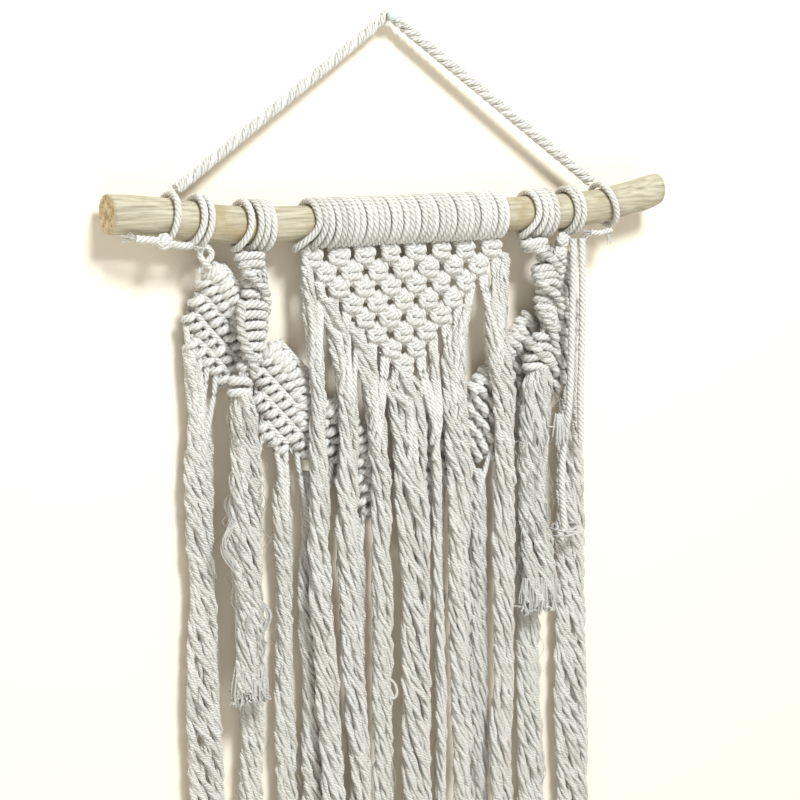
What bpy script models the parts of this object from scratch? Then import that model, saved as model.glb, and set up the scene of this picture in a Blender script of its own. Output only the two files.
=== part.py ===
"""Macrame wall hanging on a peeled branch, with the nail that it hangs from.

The origin is where the nail meets the wall. +Z is up, the front faces -Y and the wall is the plane
y = 0. Tables are in millimetres and the model is in metres. Cotton pieces keep a gap of at least
0.3 mm to each other.
"""

import math

import bmesh
import bpy
from mathutils import Vector

MM = 0.001
GAP = 0.3

# Depths of the layers, front to back: sinnets and tassels, net and its fringe, leaves and theirs.
TASSEL_Y = -22.0
TASSEL_DEPTH = 12.0
SINNET_DEPTH = 10.0
NET_Y = -18.0
NET_THICK = 6.0
FRONT_FRINGE_Y = -20.0
FRONT_FRINGE_DEPTH = 10.5
LEAF_Y = -9.0
LEAF_THICK = 6.0
BACK_FRINGE_DEPTH = 9.0

# The branch: its axis lies in one upright plane and sags a little in the middle.
DOWEL_Y = -16.0
DOWEL_SIDES_RESOLUTION = 6
DOWEL = (
    # along, height, radius
    (-186.5, -109.8, 11.5),
    (-172.0, -110.9, 11.6),
    (-156.0, -112.6, 11.6),
    (-140.0, -114.7, 11.5),
    (-125.0, -116.8, 11.3),
    (-110.0, -118.6, 11.1),
    (-90.0, -119.8, 10.9),
    (-60.0, -120.0, 10.7),
    (0.0, -120.0, 10.5),
    (60.0, -120.0, 10.5),
    (100.0, -119.9, 10.6),
    (120.0, -119.3, 10.8),
    (138.0, -118.1, 10.8),
    (155.0, -116.0, 10.7),
    (172.0, -112.6, 10.6),
    (181.0, -110.6, 10.8),
    (189.4, -108.5, 9.9),
)

# The nail: a shank and a low domed head.
NAIL_SHANK_RADIUS = 1.2
NAIL_HEAD_RADIUS = 3.6
NAIL_HEAD_BACK = 12.4
NAIL_HEAD_FRONT = 15.4

# The hanger: one thick twisted rope. The nail passes between its strands.
HANGER_RADIUS = 3.9
HANGER = (
    # along, depth, height
    (-143.0, -14.6, -97.6),
    (-137.0, -14.2, -93.7),
    (-118.0, -13.4, -80.6),
    (-90.0, -12.2, -61.6),
    (-60.0, -11.0, -41.2),
    (-30.0, -9.6, -20.7),
    (-10.0, -8.6, -7.0),
    (-4.0, -8.2, -2.4),
    (0.0, -8.1, -0.6),
    (4.0, -8.2, -2.6),
    (10.0, -8.6, -7.3),
    (30.0, -9.6, -21.9),
    (60.0, -11.0, -43.6),
    (90.0, -12.2, -65.4),
    (118.0, -13.2, -85.6),
    (131.0, -13.8, -94.9),
    (140.5, -14.6, -102.2),
)

# The cord of the headings, ties and loose ropes.
CORD = 4.2
RIB_DIP = 1.1
RING_STEPS = 14
WRAP_CLEAR = 0.4
HEADINGS = {
    # name: where each turn of cord lies along the branch
    "heading_left_pair": (-133.1, -128.4),
    "heading_left_four": (-102.9, -96.7, -92.6, -88.4),
    "heading_centre": tuple(-58.5 + 4.14 * turn for turn in range(32)),
    "heading_right_four": (93.4, 98.1, 102.2, 106.3),
    "heading_right_pair": (121.6, 125.8),
}

TIES = {
    # name: ring place along the branch, its lean, knot centre and size, then its tails
    "tie_left": {
        "along": -150.0,
        "lean": 4.0,
        "knot": (-156.4, -26.2, -125.4),
        "knot_size": (5.0, 3.9, 4.0),
        "tails": (
            ((-154.0, -26.0, -125.4), (-163.0, -25.6, -124.6), (-175.5, -24.6, -123.2)),
            ((-155.0, -25.6, -126.0), (-146.0, -24.6, -128.2), (-137.5, -23.6, -128.6)),
        ),
    },
    "tie_right": {
        "along": 149.6,
        "lean": -10.0,
        "knot": (150.6, -21.0, -132.6),
        "knot_size": (3.6, 3.2, 2.9),
        "tails": (((150.6, -21.0, -132.6), (143.0, -21.0, -133.0), (134.6, -20.6, -132.6)),),
    },
}
TAIL_RADIUS = 1.9
TIE_POINTS = 16

# The net: rows of square knots, one fewer in each row down to the point.
NET_X = 3.1
NET_TOP = -135.6
NET_ROWS = 8
KNOT_PITCH = 17.5
KNOT_HALF = 7.75
ROW_PITCH = 9.5
ROW_HALF = 4.7
HOLE_HALF_WIDE = 2.3
HOLE_HALF_HIGH = 2.1

# Hanging bundles. Each row is a level of the bundle: height, place along the branch, width.
FRINGE_END = -600.0
NET_FRINGE = {
    "net_fringe_left": {
        "band": ((-63.0, -151.6), (-24.2, -193.8), (-20.0, -198.4)),
        "bundles": {
            "edge": (
                (-147.5, -62.0, 6.6),
                (-165.0, -60.6, 7.4),
                (-183.0, -59.4, 9.0),
                (-201.0, -56.7, 9.5),
                (-219.0, -55.3, 8.5),
                (-237.0, -55.1, 10.0),
                (-262.0, -55.2, 12.0),
                (-307.0, -54.9, 14.0),
                (-343.0, -53.9, 15.0),
                (-385.0, -50.6, 15.5),
                (-427.0, -47.6, 15.5),
                (-456.0, -46.2, 16.0),
                (-530.0, -45.0, 15.0),
                (FRINGE_END, -45.0, 13.0),
            ),
            "second": (
                (-158.0, -54.6, 6.0),
                (-163.9, -52.2, 6.6),
                (-166.0, -49.0, 12.6),
                (-174.0, -46.4, 11.0),
                (-184.0, -42.6, 13.0),
                (-202.0, -39.2, 12.9),
                (-220.0, -35.5, 12.4),
                (-238.0, -35.2, 13.0),
                (-266.0, -35.6, 15.0),
                (-309.0, -36.2, 15.0),
                (-345.0, -34.0, 15.6),
                (-387.0, -32.1, 15.0),
                (-430.0, -28.7, 14.0),
                (-459.0, -27.0, 13.6),
                (-530.0, -27.0, 13.0),
                (FRINGE_END, -27.0, 11.6),
            ),
            "third": (
                (-182.8, -33.6, 5.0),
                (-187.0, -28.9, 9.6),
                (-192.3, -27.2, 9.6),
                (-194.0, -25.8, 12.0),
                (-203.0, -22.8, 13.2),
                (-221.0, -19.3, 14.0),
                (-240.0, -15.6, 13.5),
                (-268.0, -12.9, 13.0),
                (-311.0, -12.2, 13.0),
                (-347.0, -11.8, 14.5),
                (-390.0, -11.8, 14.5),
                (-432.0, -11.5, 13.5),
                (-461.0, -11.1, 12.9),
                (-530.0, -11.0, 12.4),
                (FRINGE_END, -11.0, 11.0),
            ),
        },
    },
    "net_fringe_centre": {
        "band": ((-7.0, -215.0), (1.5, -216.0), (10.0, -215.0)),
        "bundles": {
            "middle": (
                (-212.2, 1.8, 20.0),
                (-217.0, 2.4, 25.6),
                (-232.5, 4.9, 25.6),
                (-251.0, 6.9, 24.6),
                (-269.7, 7.9, 23.4),
                (-313.5, 10.6, 22.4),
                (-350.0, 11.5, 19.4),
                (-378.0, 11.5, 19.5),
                (-414.0, 12.0, 21.0),
                (-435.0, 11.6, 19.6),
                (-464.0, 12.4, 19.6),
                (-530.0, 12.0, 19.0),
                (FRINGE_END, 12.0, 16.0),
            ),
        },
    },
    "net_fringe_right": {
        "band": ((71.4, -149.2), (30.4, -193.8), (24.4, -200.4)),
        "bundles": {
            "slim": (
                (-201.5, 24.6, 4.6),
                (-215.0, 23.6, 6.6),
                (-234.0, 24.0, 7.2),
                (-271.0, 26.0, 6.4),
                (-315.0, 27.2, 5.0),
                (-352.0, 27.6, 5.0),
                (-410.0, 30.0, 7.0),
                (-467.0, 29.6, 6.0),
                (FRINGE_END, 30.0, 6.0),
            ),
            "fourth": (
                (-177.0, 46.6, 6.0),
                (-186.0, 42.6, 11.0),
                (-196.0, 39.4, 15.0),
                (-207.0, 38.4, 17.4),
                (-226.0, 38.4, 18.0),
                (-244.0, 39.4, 18.0),
                (-273.0, 42.3, 18.0),
                (-317.0, 42.4, 15.0),
                (-354.0, 42.6, 15.0),
                (-397.0, 43.6, 13.4),
                (-440.0, 45.4, 13.4),
                (-469.0, 44.8, 12.4),
                (FRINGE_END, 45.0, 12.0),
            ),
            "fifth": (
                (-147.0, 74.4, 6.4),
                (-158.0, 71.6, 11.0),
                (-172.0, 69.2, 14.6),
                (-190.0, 68.5, 15.5),
                (-209.0, 70.8, 17.0),
                (-228.0, 74.0, 15.0),
                (-247.0, 74.7, 13.9),
                (-276.0, 75.2, 13.6),
                (-320.0, 74.5, 15.6),
                (-357.0, 74.7, 16.0),
                (-401.0, 75.4, 13.6),
                (-444.0, 73.1, 17.0),
                (-474.0, 73.8, 16.0),
                (FRINGE_END, 74.0, 14.0),
            ),
        },
    },
}
LEAF_FRINGE = {
    "leaf_fringe_left": {
        "band": (
            (-137.0, -189.0),
            (-130.0, -202.0),
            (-119.0, -216.5),
            (-104.0, -219.0),
            (-98.0, -238.0),
            (-88.0, -251.0),
            (-74.0, -262.0),
            (-58.0, -270.0),
            (-46.0, -276.0),
            (-32.0, -292.0),
            (-20.0, -304.0),
        ),
        "bundles": {
            "outer": (
                (-192.0, -134.0, 6.0),
                (-206.0, -130.5, 10.7),
                (-228.0, -128.3, 13.7),
                (-259.0, -128.0, 18.6),
                (-301.0, -127.4, 17.0),
                (-337.0, -126.3, 17.1),
                (-391.0, -126.9, 21.6),
                (-447.0, -124.9, 23.4),
                (-520.0, -124.0, 21.0),
                (FRINGE_END, -123.0, 18.0),
            ),
            "under_tassel": (
                (-220.0, -104.0, 9.0),
                (-245.0, -99.0, 12.0),
                (-300.0, -97.0, 14.0),
                (-402.0, -94.6, 17.0),
                (-451.0, -95.6, 14.8),
                (FRINGE_END, -96.0, 14.0),
            ),
            "inner": (
                (-262.0, -72.6, 9.0),
                (-280.0, -73.8, 11.5),
                (-307.0, -73.1, 11.5),
                (-343.0, -72.6, 10.2),
                (-370.0, -72.8, 10.2),
                (-426.0, -72.4, 14.2),
                (-455.0, -71.9, 13.2),
                (FRINGE_END, -72.0, 12.6),
            ),
            "behind_edge": (
                (-271.0, -57.0, 8.0),
                (-309.0, -55.6, 10.0),
                (-344.0, -57.0, 13.4),
                (-387.0, -54.4, 13.3),
                (-429.0, -53.4, 16.0),
                (-457.0, -53.4, 16.4),
                (FRINGE_END, -53.0, 15.0),
            ),
            "behind_third": (
                (-302.0, -22.4, 7.0),
                (-350.0, -21.4, 8.0),
                (-450.0, -21.0, 9.0),
                (FRINGE_END, -21.0, 9.0),
            ),
        },
    },
    "leaf_fringe_right": {
        "band": (
            (28.0, -304.0),
            (38.0, -293.0),
            (50.0, -279.5),
            (66.0, -279.0),
            (80.0, -273.0),
            (92.0, -256.0),
            (104.0, -238.0),
            (117.0, -237.5),
            (132.0, -231.0),
        ),
        "bundles": {
            "behind_slim": (
                (-302.0, 31.0, 5.0),
                (-340.0, 35.0, 6.0),
                (-450.0, 36.0, 7.0),
                (FRINGE_END, 36.0, 8.0),
            ),
            "twisted": (
                (-280.0, 63.0, 12.0),
                (-358.0, 63.6, 13.0),
                (-475.0, 64.2, 13.4),
                (FRINGE_END, 64.0, 12.6),
            ),
            "under_tassel": (
                (-242.0, 101.0, 9.0),
                (-300.0, 99.6, 14.0),
                (-369.0, 100.4, 17.0),
                (-406.0, 100.6, 17.2),
                (-451.0, 102.4, 18.6),
                (-481.0, 103.4, 19.6),
                (FRINGE_END, 104.0, 17.0),
            ),
            "outer": (
                (-231.0, 129.6, 11.0),
                (-250.0, 130.2, 17.0),
                (-277.0, 131.0, 20.4),
                (-327.0, 131.6, 20.9),
                (-365.0, 132.0, 21.0),
                (-410.0, 132.6, 24.0),
                (-454.0, 134.0, 24.8),
                (-485.0, 135.4, 23.0),
                (FRINGE_END, 135.0, 20.0),
            ),
        },
    },
}
BAND_RADIUS = 2.3

LEAVES = {
    # name: outline of the leaf, as place along the branch and height
    "leaf_left_outer": (
        (-130.0, -133.4),
        (-122.5, -133.6),
        (-120.0, -141.0),
        (-112.0, -146.0),
        (-103.0, -157.0),
        (-95.0, -170.0),
        (-92.5, -180.0),
        (-98.0, -198.0),
        (-112.0, -211.5),
        (-120.0, -206.0),
        (-129.0, -194.0),
        (-137.0, -180.0),
        (-136.0, -167.0),
        (-131.0, -156.0),
        (-127.0, -146.0),
    ),
    "leaf_left_inner": (
        (-90.5, -188.0),
        (-77.0, -189.5),
        (-65.0, -202.0),
        (-55.5, -213.0),
        (-52.5, -228.0),
        (-52.5, -245.0),
        (-57.0, -262.0),
        (-66.0, -258.0),
        (-77.0, -250.0),
        (-87.0, -242.0),
        (-92.0, -228.0),
        (-93.0, -206.0),
    ),
    "leaf_left_centre": (
        (-49.0, -226.0),
        (-38.0, -222.5),
        (-24.0, -236.0),
        (-11.0, -252.0),
        (-5.0, -270.0),
        (-7.0, -290.0),
        (-16.0, -297.0),
        (-30.0, -281.0),
        (-42.0, -265.0),
        (-48.5, -248.0),
    ),
    "leaf_right_centre": (
        (13.0, -252.0),
        (32.0, -236.0),
        (44.0, -223.0),
        (51.5, -227.0),
        (51.0, -248.0),
        (47.0, -264.0),
        (38.0, -281.0),
        (24.0, -297.0),
        (15.0, -290.0),
        (13.0, -270.0),
    ),
    "leaf_right_inner": (
        (57.0, -221.5),
        (71.0, -211.0),
        (86.0, -196.0),
        (99.0, -181.5),
        (102.6, -192.0),
        (101.0, -208.0),
        (95.0, -229.0),
        (85.0, -249.0),
        (73.0, -268.0),
        (61.0, -272.0),
        (55.0, -262.0),
        (54.5, -236.0),
    ),
    "leaf_right_outer": (
        (112.5, -137.0),
        (119.0, -137.0),
        (120.0, -147.0),
        (127.0, -157.0),
        (133.0, -172.0),
        (134.5, -190.0),
        (133.0, -210.0),
        (128.0, -224.0),
        (118.0, -231.0),
        (109.0, -222.0),
        (105.0, -200.0),
        (107.0, -176.0),
        (112.0, -158.0),
    ),
}

# Spiral sinnets and their tassels, with rows like those of the fringe bundles.
SINNETS = {
    "sinnet_left": (
        (-137.0, -98.4, 16.7),
        (-147.0, -94.6, 12.0),
        (-156.0, -93.8, 12.0),
        (-162.0, -96.3, 18.6),
        (-171.0, -97.0, 18.3),
        (-180.0, -97.6, 17.3),
        (-189.0, -97.2, 15.8),
        (-196.0, -98.6, 13.0),
        (-204.0, -103.0, 13.8),
        (-215.5, -106.0, 15.3),
    ),
    "sinnet_right": (
        (-137.4, 97.4, 15.6),
        (-145.5, 103.6, 12.6),
        (-154.6, 104.0, 18.0),
        (-167.0, 105.6, 17.6),
        (-178.0, 105.4, 18.4),
        (-188.5, 105.6, 16.8),
        (-199.6, 102.6, 20.0),
        (-215.5, 99.6, 20.4),
    ),
}
TASSELS = {
    "tassel_left": (
        (-216.2, -106.0, 15.0),
        (-232.0, -105.4, 15.8),
        (-259.0, -104.2, 18.8),
        (-295.0, -104.8, 22.0),
        (-317.0, -106.0, 24.0),
        (-336.0, -101.6, 20.3),
        (-350.0, -98.6, 22.4),
        (-364.0, -100.2, 20.0),
        (-377.0, -101.8, 17.3),
        (-392.0, -102.2, 21.0),
    ),
    "tassel_right": (
        (-216.2, 98.0, 18.6),
        (-239.0, 96.4, 22.0),
        (-257.0, 94.6, 19.7),
        (-276.0, 94.4, 19.6),
        (-301.0, 94.2, 19.0),
        (-321.0, 97.6, 21.4),
        (-345.0, 100.4, 23.0),
        (-361.0, 102.0, 20.0),
    ),
}

# Two lengths of cord that still hold their twist.
ROPES = {
    # name: along, depth, height
    "rope_long": (
        (121.6, -24.0, -136.0),
        (121.9, -24.0, -150.0),
        (121.9, -24.0, -165.0),
        (121.4, -24.0, -180.0),
        (121.1, -24.0, -195.0),
        (120.8, -24.0, -210.0),
        (120.4, -24.0, -225.0),
        (119.4, -24.0, -240.0),
        (117.6, -23.6, -255.0),
        (116.0, -23.0, -269.0),
        (115.6, -22.4, -283.0),
        (116.6, -22.0, -298.0),
        (118.4, -22.0, -317.0),
    ),
    "rope_short": (
        (128.0, -24.0, -136.0),
        (128.4, -24.0, -152.0),
        (128.8, -24.0, -168.0),
        (128.9, -24.0, -184.0),
        (128.7, -24.0, -200.0),
        (128.3, -24.0, -216.0),
        (128.1, -24.0, -232.0),
        (128.4, -24.0, -248.0),
        (129.2, -23.6, -262.0),
    ),
}
ROPE_RADIUS = 2.15

COTTON = (0.83, 0.82, 0.76)
BARE_WOOD = (0.70, 0.55, 0.33)
NAIL_PAINT = (0.70, 0.80, 0.84)


def clear_scene():
    for obj in list(bpy.data.objects):
        bpy.data.objects.remove(obj, do_unlink=True)


def new_collection(name, hidden=False):
    collection = bpy.data.collections.new(name)
    bpy.context.scene.collection.children.link(collection)
    collection.hide_render = hidden
    return collection


def material(name, colour, roughness):
    made = bpy.data.materials.new(name)
    made.use_nodes = True
    shader = made.node_tree.nodes["Principled BSDF"]
    shader.inputs["Base Color"].default_value = (*colour, 1.0)
    shader.inputs["Roughness"].default_value = roughness
    shader.inputs["Metallic"].default_value = 0.0
    return made


def finish(obj, colour, roughness, collection, parent):
    """Gives a sub-part its material, its collection and its place under the hanging point."""
    obj.data.materials.clear()
    obj.data.materials.append(material(f"{obj.name}_finish", colour, roughness))
    collection.objects.link(obj)
    obj.parent = parent
    return obj


def as_cutter(obj, collection):
    collection.objects.link(obj)
    obj.hide_render = True
    obj.display_type = "WIRE"
    return obj


def just_added(name):
    """The primitive that was just added, named and taken out of the collection it landed in."""
    obj = bpy.context.object
    obj.name = name
    for collection in list(obj.users_collection):
        collection.objects.unlink(obj)
    return obj


def between(table, along, column):
    """The table's value at a place along the branch, on a straight line between its rows."""
    for low, high in zip(table, table[1:]):
        if along <= high[0]:
            part = (along - low[0]) / (high[0] - low[0])
            return low[column] + part * (high[column] - low[column])
    return table[-1][column]


def smooth_path(points, per_span):
    """Points read from a Catmull-Rom curve through the route's own points."""
    ends = [points[0] * 2 - points[1], *points, points[-1] * 2 - points[-2]]
    path = []
    for index in range(1, len(ends) - 2):
        before, start, end, after = ends[index - 1 : index + 3]
        for step in range(per_span):
            t = step / per_span
            path.append(
                0.5
                * (
                    2 * start
                    + (end - before) * t
                    + (2 * before - 5 * start + 4 * end - after) * t**2
                    + (3 * start - before - 3 * end + after) * t**3
                )
            )
    path.append(points[-1])
    return path


def tube(name, points, radii, resolution=2):
    """A cord or rod as a curve object: points in millimetres, one radius for each."""
    curve = bpy.data.curves.new(name, "CURVE")
    curve.dimensions = "3D"
    curve.bevel_depth = MM
    curve.bevel_resolution = resolution
    curve.use_fill_caps = True
    spline = curve.splines.new("POLY")
    spline.points.add(len(points) - 1)
    for place, point, radius in zip(spline.points, points, radii):
        place.co = (*(Vector(point) * MM), 1.0)
        place.radius = radius
    return bpy.data.objects.new(name, curve)


def meshed(obj):
    """The curve object's shape as a mesh object with its caps welded on, for a Boolean."""
    bpy.context.scene.collection.objects.link(obj)
    graph = bpy.context.evaluated_depsgraph_get()
    mesh = bpy.data.meshes.new_from_object(obj.evaluated_get(graph))
    work = bmesh.new()
    work.from_mesh(mesh)
    bmesh.ops.remove_doubles(work, verts=work.verts, dist=0.01 * MM)
    work.to_mesh(mesh)
    work.free()
    name = obj.name
    bpy.data.objects.remove(obj, do_unlink=True)
    return bpy.data.objects.new(name, mesh)


def rounded(obj):
    """Shades a round piece smooth and keeps its sharp rims."""
    obj.data.shade_smooth()
    obj.data.set_sharp_from_angle(angle=math.radians(40.0))
    return obj


def loft(name, stations, depth, y, sides=8):
    """A hanging bundle: level oval sections of changing width and place, bridged in order."""
    work = bmesh.new()
    rings = []
    for height, along, width in stations:
        ring = []
        for side in range(sides):
            angle = 2 * math.pi * (side + 0.5) / sides
            across = 0.5 * width * math.cos(angle)
            deep = 0.5 * depth * math.sin(angle)
            ring.append(work.verts.new(Vector((along + across, y + deep, height)) * MM))
        rings.append(ring)
    for upper, lower in zip(rings, rings[1:]):
        for side in range(sides):
            after = (side + 1) % sides
            work.faces.new((upper[side], upper[after], lower[after], lower[side]))
    work.faces.new(rings[0])
    work.faces.new(rings[-1])
    bmesh.ops.recalc_face_normals(work, faces=work.faces)
    mesh = bpy.data.meshes.new(name)
    work.to_mesh(mesh)
    work.free()
    return bpy.data.objects.new(name, mesh)


def flat_panel(name, outlines, y, thick):
    """An upright slab: its outline, then its holes, drawn in the plane of the branch."""
    curve = bpy.data.curves.new(name, "CURVE")
    curve.dimensions = "2D"
    curve.fill_mode = "BOTH"
    curve.extrude = 0.5 * thick * MM
    for outline in outlines:
        spline = curve.splines.new("POLY")
        spline.points.add(len(outline) - 1)
        spline.use_cyclic_u = True
        for place, (along, height) in zip(spline.points, outline):
            place.co = (along * MM, height * MM, 0.0, 1.0)
    panel = bpy.data.objects.new(name, curve)
    panel.location = (0.0, y * MM, 0.0)
    panel.rotation_euler = (math.radians(90.0), 0.0, 0.0)
    return panel


def union(obj, others):
    """Joins touching shapes into one body."""
    for other in others:
        joiner = obj.modifiers.new(f"join_{other.name}", "BOOLEAN")
        joiner.operation = "UNION"
        joiner.solver = "EXACT"
        joiner.object = other
    return obj


def dowel():
    points = [Vector((along, DOWEL_Y, height)) for along, height, _ in DOWEL]
    radii = [radius for _, _, radius in DOWEL]
    return tube("dowel", points, radii, DOWEL_SIDES_RESOLUTION)


def nail():
    """Shank and domed head, turned about the nail's own axis."""
    dome = [
        (NAIL_HEAD_RADIUS * math.cos(turn), NAIL_HEAD_BACK + 1.2 + 1.8 * math.sin(turn))
        for turn in (math.radians(75.0), math.radians(45.0), math.radians(15.0), 0.0)
    ]
    profile = [
        (0.0, NAIL_HEAD_FRONT),
        *dome,
        (NAIL_HEAD_RADIUS, NAIL_HEAD_BACK),
        (NAIL_SHANK_RADIUS, NAIL_HEAD_BACK),
        (NAIL_SHANK_RADIUS, 0.0),
        (0.0, 0.0),
    ]
    return turned("nail", profile, (0.0, 0.0, 0.0), (math.radians(90.0), 0.0, 0.0), False, 16)


def turned(name, profile, place, lean, closed, steps):
    """A turned piece: (radius, height) pairs, top to bottom down the outer side."""
    mesh = bpy.data.meshes.new(name)
    edges = [(index, index + 1) for index in range(len(profile) - 1)]
    if closed:
        edges.append((len(profile) - 1, 0))
    mesh.from_pydata([(radius * MM, 0.0, height * MM) for radius, height in profile], edges, [])
    made = bpy.data.objects.new(name, mesh)
    made.location = Vector(place) * MM
    made.rotation_euler = lean
    screw = made.modifiers.new("turn", "SCREW")
    screw.steps = steps
    screw.render_steps = steps
    screw.use_merge_vertices = True
    screw.merge_threshold = 0.00001
    screw.use_smooth_shade = True
    return made


def heading(name, turns):
    """A ribbed sleeve round the branch, one rib for each turn of cord."""
    middle = 0.5 * (turns[0] + turns[-1])
    slope = math.atan2(
        between(DOWEL, middle + 1.0, 1) - between(DOWEL, middle - 1.0, 1),
        2.0,
    )
    thickest = max(between(DOWEL, turn, 2) for turn in turns)
    inner = (thickest + WRAP_CLEAR) / math.cos(math.pi / RING_STEPS) + 0.15
    outer = thickest + WRAP_CLEAR + CORD
    ends = [(outer - RIB_DIP, turns[-1] - middle + 0.5 * CORD)]
    for turn, lower in zip(reversed(turns), list(reversed(turns[:-1])) + [None]):
        ends.append((outer, turn - middle))
        if lower is not None:
            ends.append((outer - RIB_DIP, 0.5 * (turn + lower) - middle))
    ends.append((outer - RIB_DIP, turns[0] - middle - 0.5 * CORD))
    profile = [(inner, ends[0][1]), *ends, (inner, ends[-1][1])]
    place = (middle, DOWEL_Y, between(DOWEL, middle, 1))
    return turned(name, profile, place, (0.0, math.radians(90.0) - slope, 0.0), True, RING_STEPS)


def hanger(cutters):
    """The thick rope, with the hole that the nail's shank goes through."""
    points = [Vector(point) for point in HANGER]
    rope = meshed(tube("hanger", points, [HANGER_RADIUS] * len(points)))
    bpy.ops.mesh.primitive_cylinder_add(
        vertices=12,
        radius=(NAIL_SHANK_RADIUS + GAP) * MM,
        depth=40.0 * MM,
        rotation=(math.radians(90.0), 0.0, 0.0),
    )
    shank_room = just_added("shank_room")
    cut = rope.modifiers.new("nail_hole", "BOOLEAN")
    cut.operation = "DIFFERENCE"
    cut.solver = "EXACT"
    cut.object = as_cutter(shank_room, cutters)
    return rope


def tie(name, shape, cutters):
    """One cord round the branch, its knot under it and the knot's cut tails."""
    along = shape["along"]
    ring_radius = between(DOWEL, along, 2) + WRAP_CLEAR + 0.5 * CORD + 0.2
    lean = math.radians(shape["lean"])
    centre = Vector((along, DOWEL_Y, between(DOWEL, along, 1)))
    points = []
    for step in range(TIE_POINTS):
        angle = 2 * math.pi * step / TIE_POINTS
        up = ring_radius * math.sin(angle)
        offset = Vector((up * math.sin(lean), ring_radius * math.cos(angle), up * math.cos(lean)))
        points.append(centre + offset)
    loop = tube(name, points, [0.5 * CORD - 0.2] * len(points))
    loop.data.splines[0].use_cyclic_u = True
    loop.data.use_fill_caps = False
    ring = meshed(loop)
    bpy.ops.mesh.primitive_uv_sphere_add(segments=10, ring_count=6, radius=MM)
    ball = just_added(f"{name}_knot")
    ball.location = Vector(shape["knot"]) * MM
    ball.scale = shape["knot_size"]
    joined = [as_cutter(ball, cutters)]
    for number, tail in enumerate(shape["tails"]):
        path = smooth_path([Vector(point) for point in tail], 3)
        end = meshed(tube(f"{name}_tail_{number}", path, [TAIL_RADIUS] * len(path)))
        joined.append(as_cutter(end, cutters))
    return union(ring, joined)


def net():
    """The triangle of knots: a stepped outline and a small hole between each two knots of a row."""
    right_side = []
    left_side = []
    holes = []
    for row in range(NET_ROWS):
        knots = NET_ROWS - row
        middle = NET_TOP - ROW_HALF - row * ROW_PITCH
        reach = 0.5 * (knots - 1) * KNOT_PITCH + KNOT_HALF
        low = middle - ROW_HALF + (0.0 if row == NET_ROWS - 1 else 0.6)
        high = NET_TOP if row == 0 else middle + ROW_HALF - 1.4
        right_side += [(NET_X + reach, high), (NET_X + reach, low)]
        left_side += [(NET_X - reach, high), (NET_X - reach, low)]
        for gap in range(knots - 1):
            along = NET_X + (gap - 0.5 * (knots - 2)) * KNOT_PITCH
            holes.append(
                (
                    (along - HOLE_HALF_WIDE, middle),
                    (along, middle - HOLE_HALF_HIGH),
                    (along + HOLE_HALF_WIDE, middle),
                    (along, middle + HOLE_HALF_HIGH),
                )
            )
    return flat_panel("net", [right_side + left_side[::-1], *holes], NET_Y, NET_THICK)


def comb(name, shape, depth, y, cutters):
    """A fringe: a band along the edge it hangs from, and its bundles joined to it."""
    path = [Vector((along, y, height)) for along, height in shape["band"]]
    band = meshed(tube(name, path, [BAND_RADIUS] * len(path)))
    teeth = []
    for bundle, stations in shape["bundles"].items():
        tooth = loft(f"{name}_{bundle}", stations, depth, y)
        teeth.append(as_cutter(tooth, cutters))
    return union(band, teeth)


def build():
    clear_scene()
    parts = new_collection("macrame_wall_hanging")
    cutters = new_collection("cutters", hidden=True)
    hanging_point = bpy.data.objects.new("hanging_point", None)
    parts.objects.link(hanging_point)

    finish(dowel(), BARE_WOOD, 0.6, parts, hanging_point)
    finish(nail(), NAIL_PAINT, 0.35, parts, hanging_point)

    soft = [hanger(cutters), net()]
    soft += [tie(name, shape, cutters) for name, shape in TIES.items()]
    soft += [heading(name, turns) for name, turns in HEADINGS.items()]
    soft += [flat_panel(name, [outline], LEAF_Y, LEAF_THICK) for name, outline in LEAVES.items()]
    for name, shape in NET_FRINGE.items():
        soft.append(comb(name, shape, FRONT_FRINGE_DEPTH, FRONT_FRINGE_Y, cutters))
    for name, shape in LEAF_FRINGE.items():
        soft.append(comb(name, shape, BACK_FRINGE_DEPTH, LEAF_Y, cutters))
    for name, stations in SINNETS.items():
        soft.append(rounded(loft(name, stations, SINNET_DEPTH, TASSEL_Y, 10)))
    for name, stations in TASSELS.items():
        soft.append(rounded(loft(name, stations, TASSEL_DEPTH, TASSEL_Y, 10)))
    for name, route in ROPES.items():
        path = smooth_path([Vector(point) for point in route], 2)
        soft.append(tube(name, path, [ROPE_RADIUS] * len(path)))
    for piece in soft:
        finish(piece, COTTON, 0.9, parts, hanging_point)


build()
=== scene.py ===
"""Macrame wall hanging: a Blender add-on that lays every cord, knot and strand on the CAD frame.

Tables are in millimetres in the frame's own axes: x along the branch, y into the wall, z up, and
the origin where the nail meets the wall. Meshes are in metres.
"""

import math

import bmesh
import bpy
import numpy as np
from mathutils import Matrix, Vector, noise


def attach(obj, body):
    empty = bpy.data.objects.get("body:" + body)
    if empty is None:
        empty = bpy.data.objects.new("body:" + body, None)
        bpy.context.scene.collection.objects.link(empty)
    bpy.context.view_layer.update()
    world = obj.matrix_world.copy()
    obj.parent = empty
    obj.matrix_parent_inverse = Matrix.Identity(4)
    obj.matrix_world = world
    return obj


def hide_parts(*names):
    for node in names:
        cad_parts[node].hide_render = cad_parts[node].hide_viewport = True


bl_info = {
    "name": "Macrame wall hanging",
    "version": (1, 0, 0),
    "blender": (4, 5, 0),
    "location": "3D View > Sidebar > Macrame",
    "description": "Lays the cords, knots and fringe of a macrame wall hanging on its frame",
    "category": "Object",
}

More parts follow.
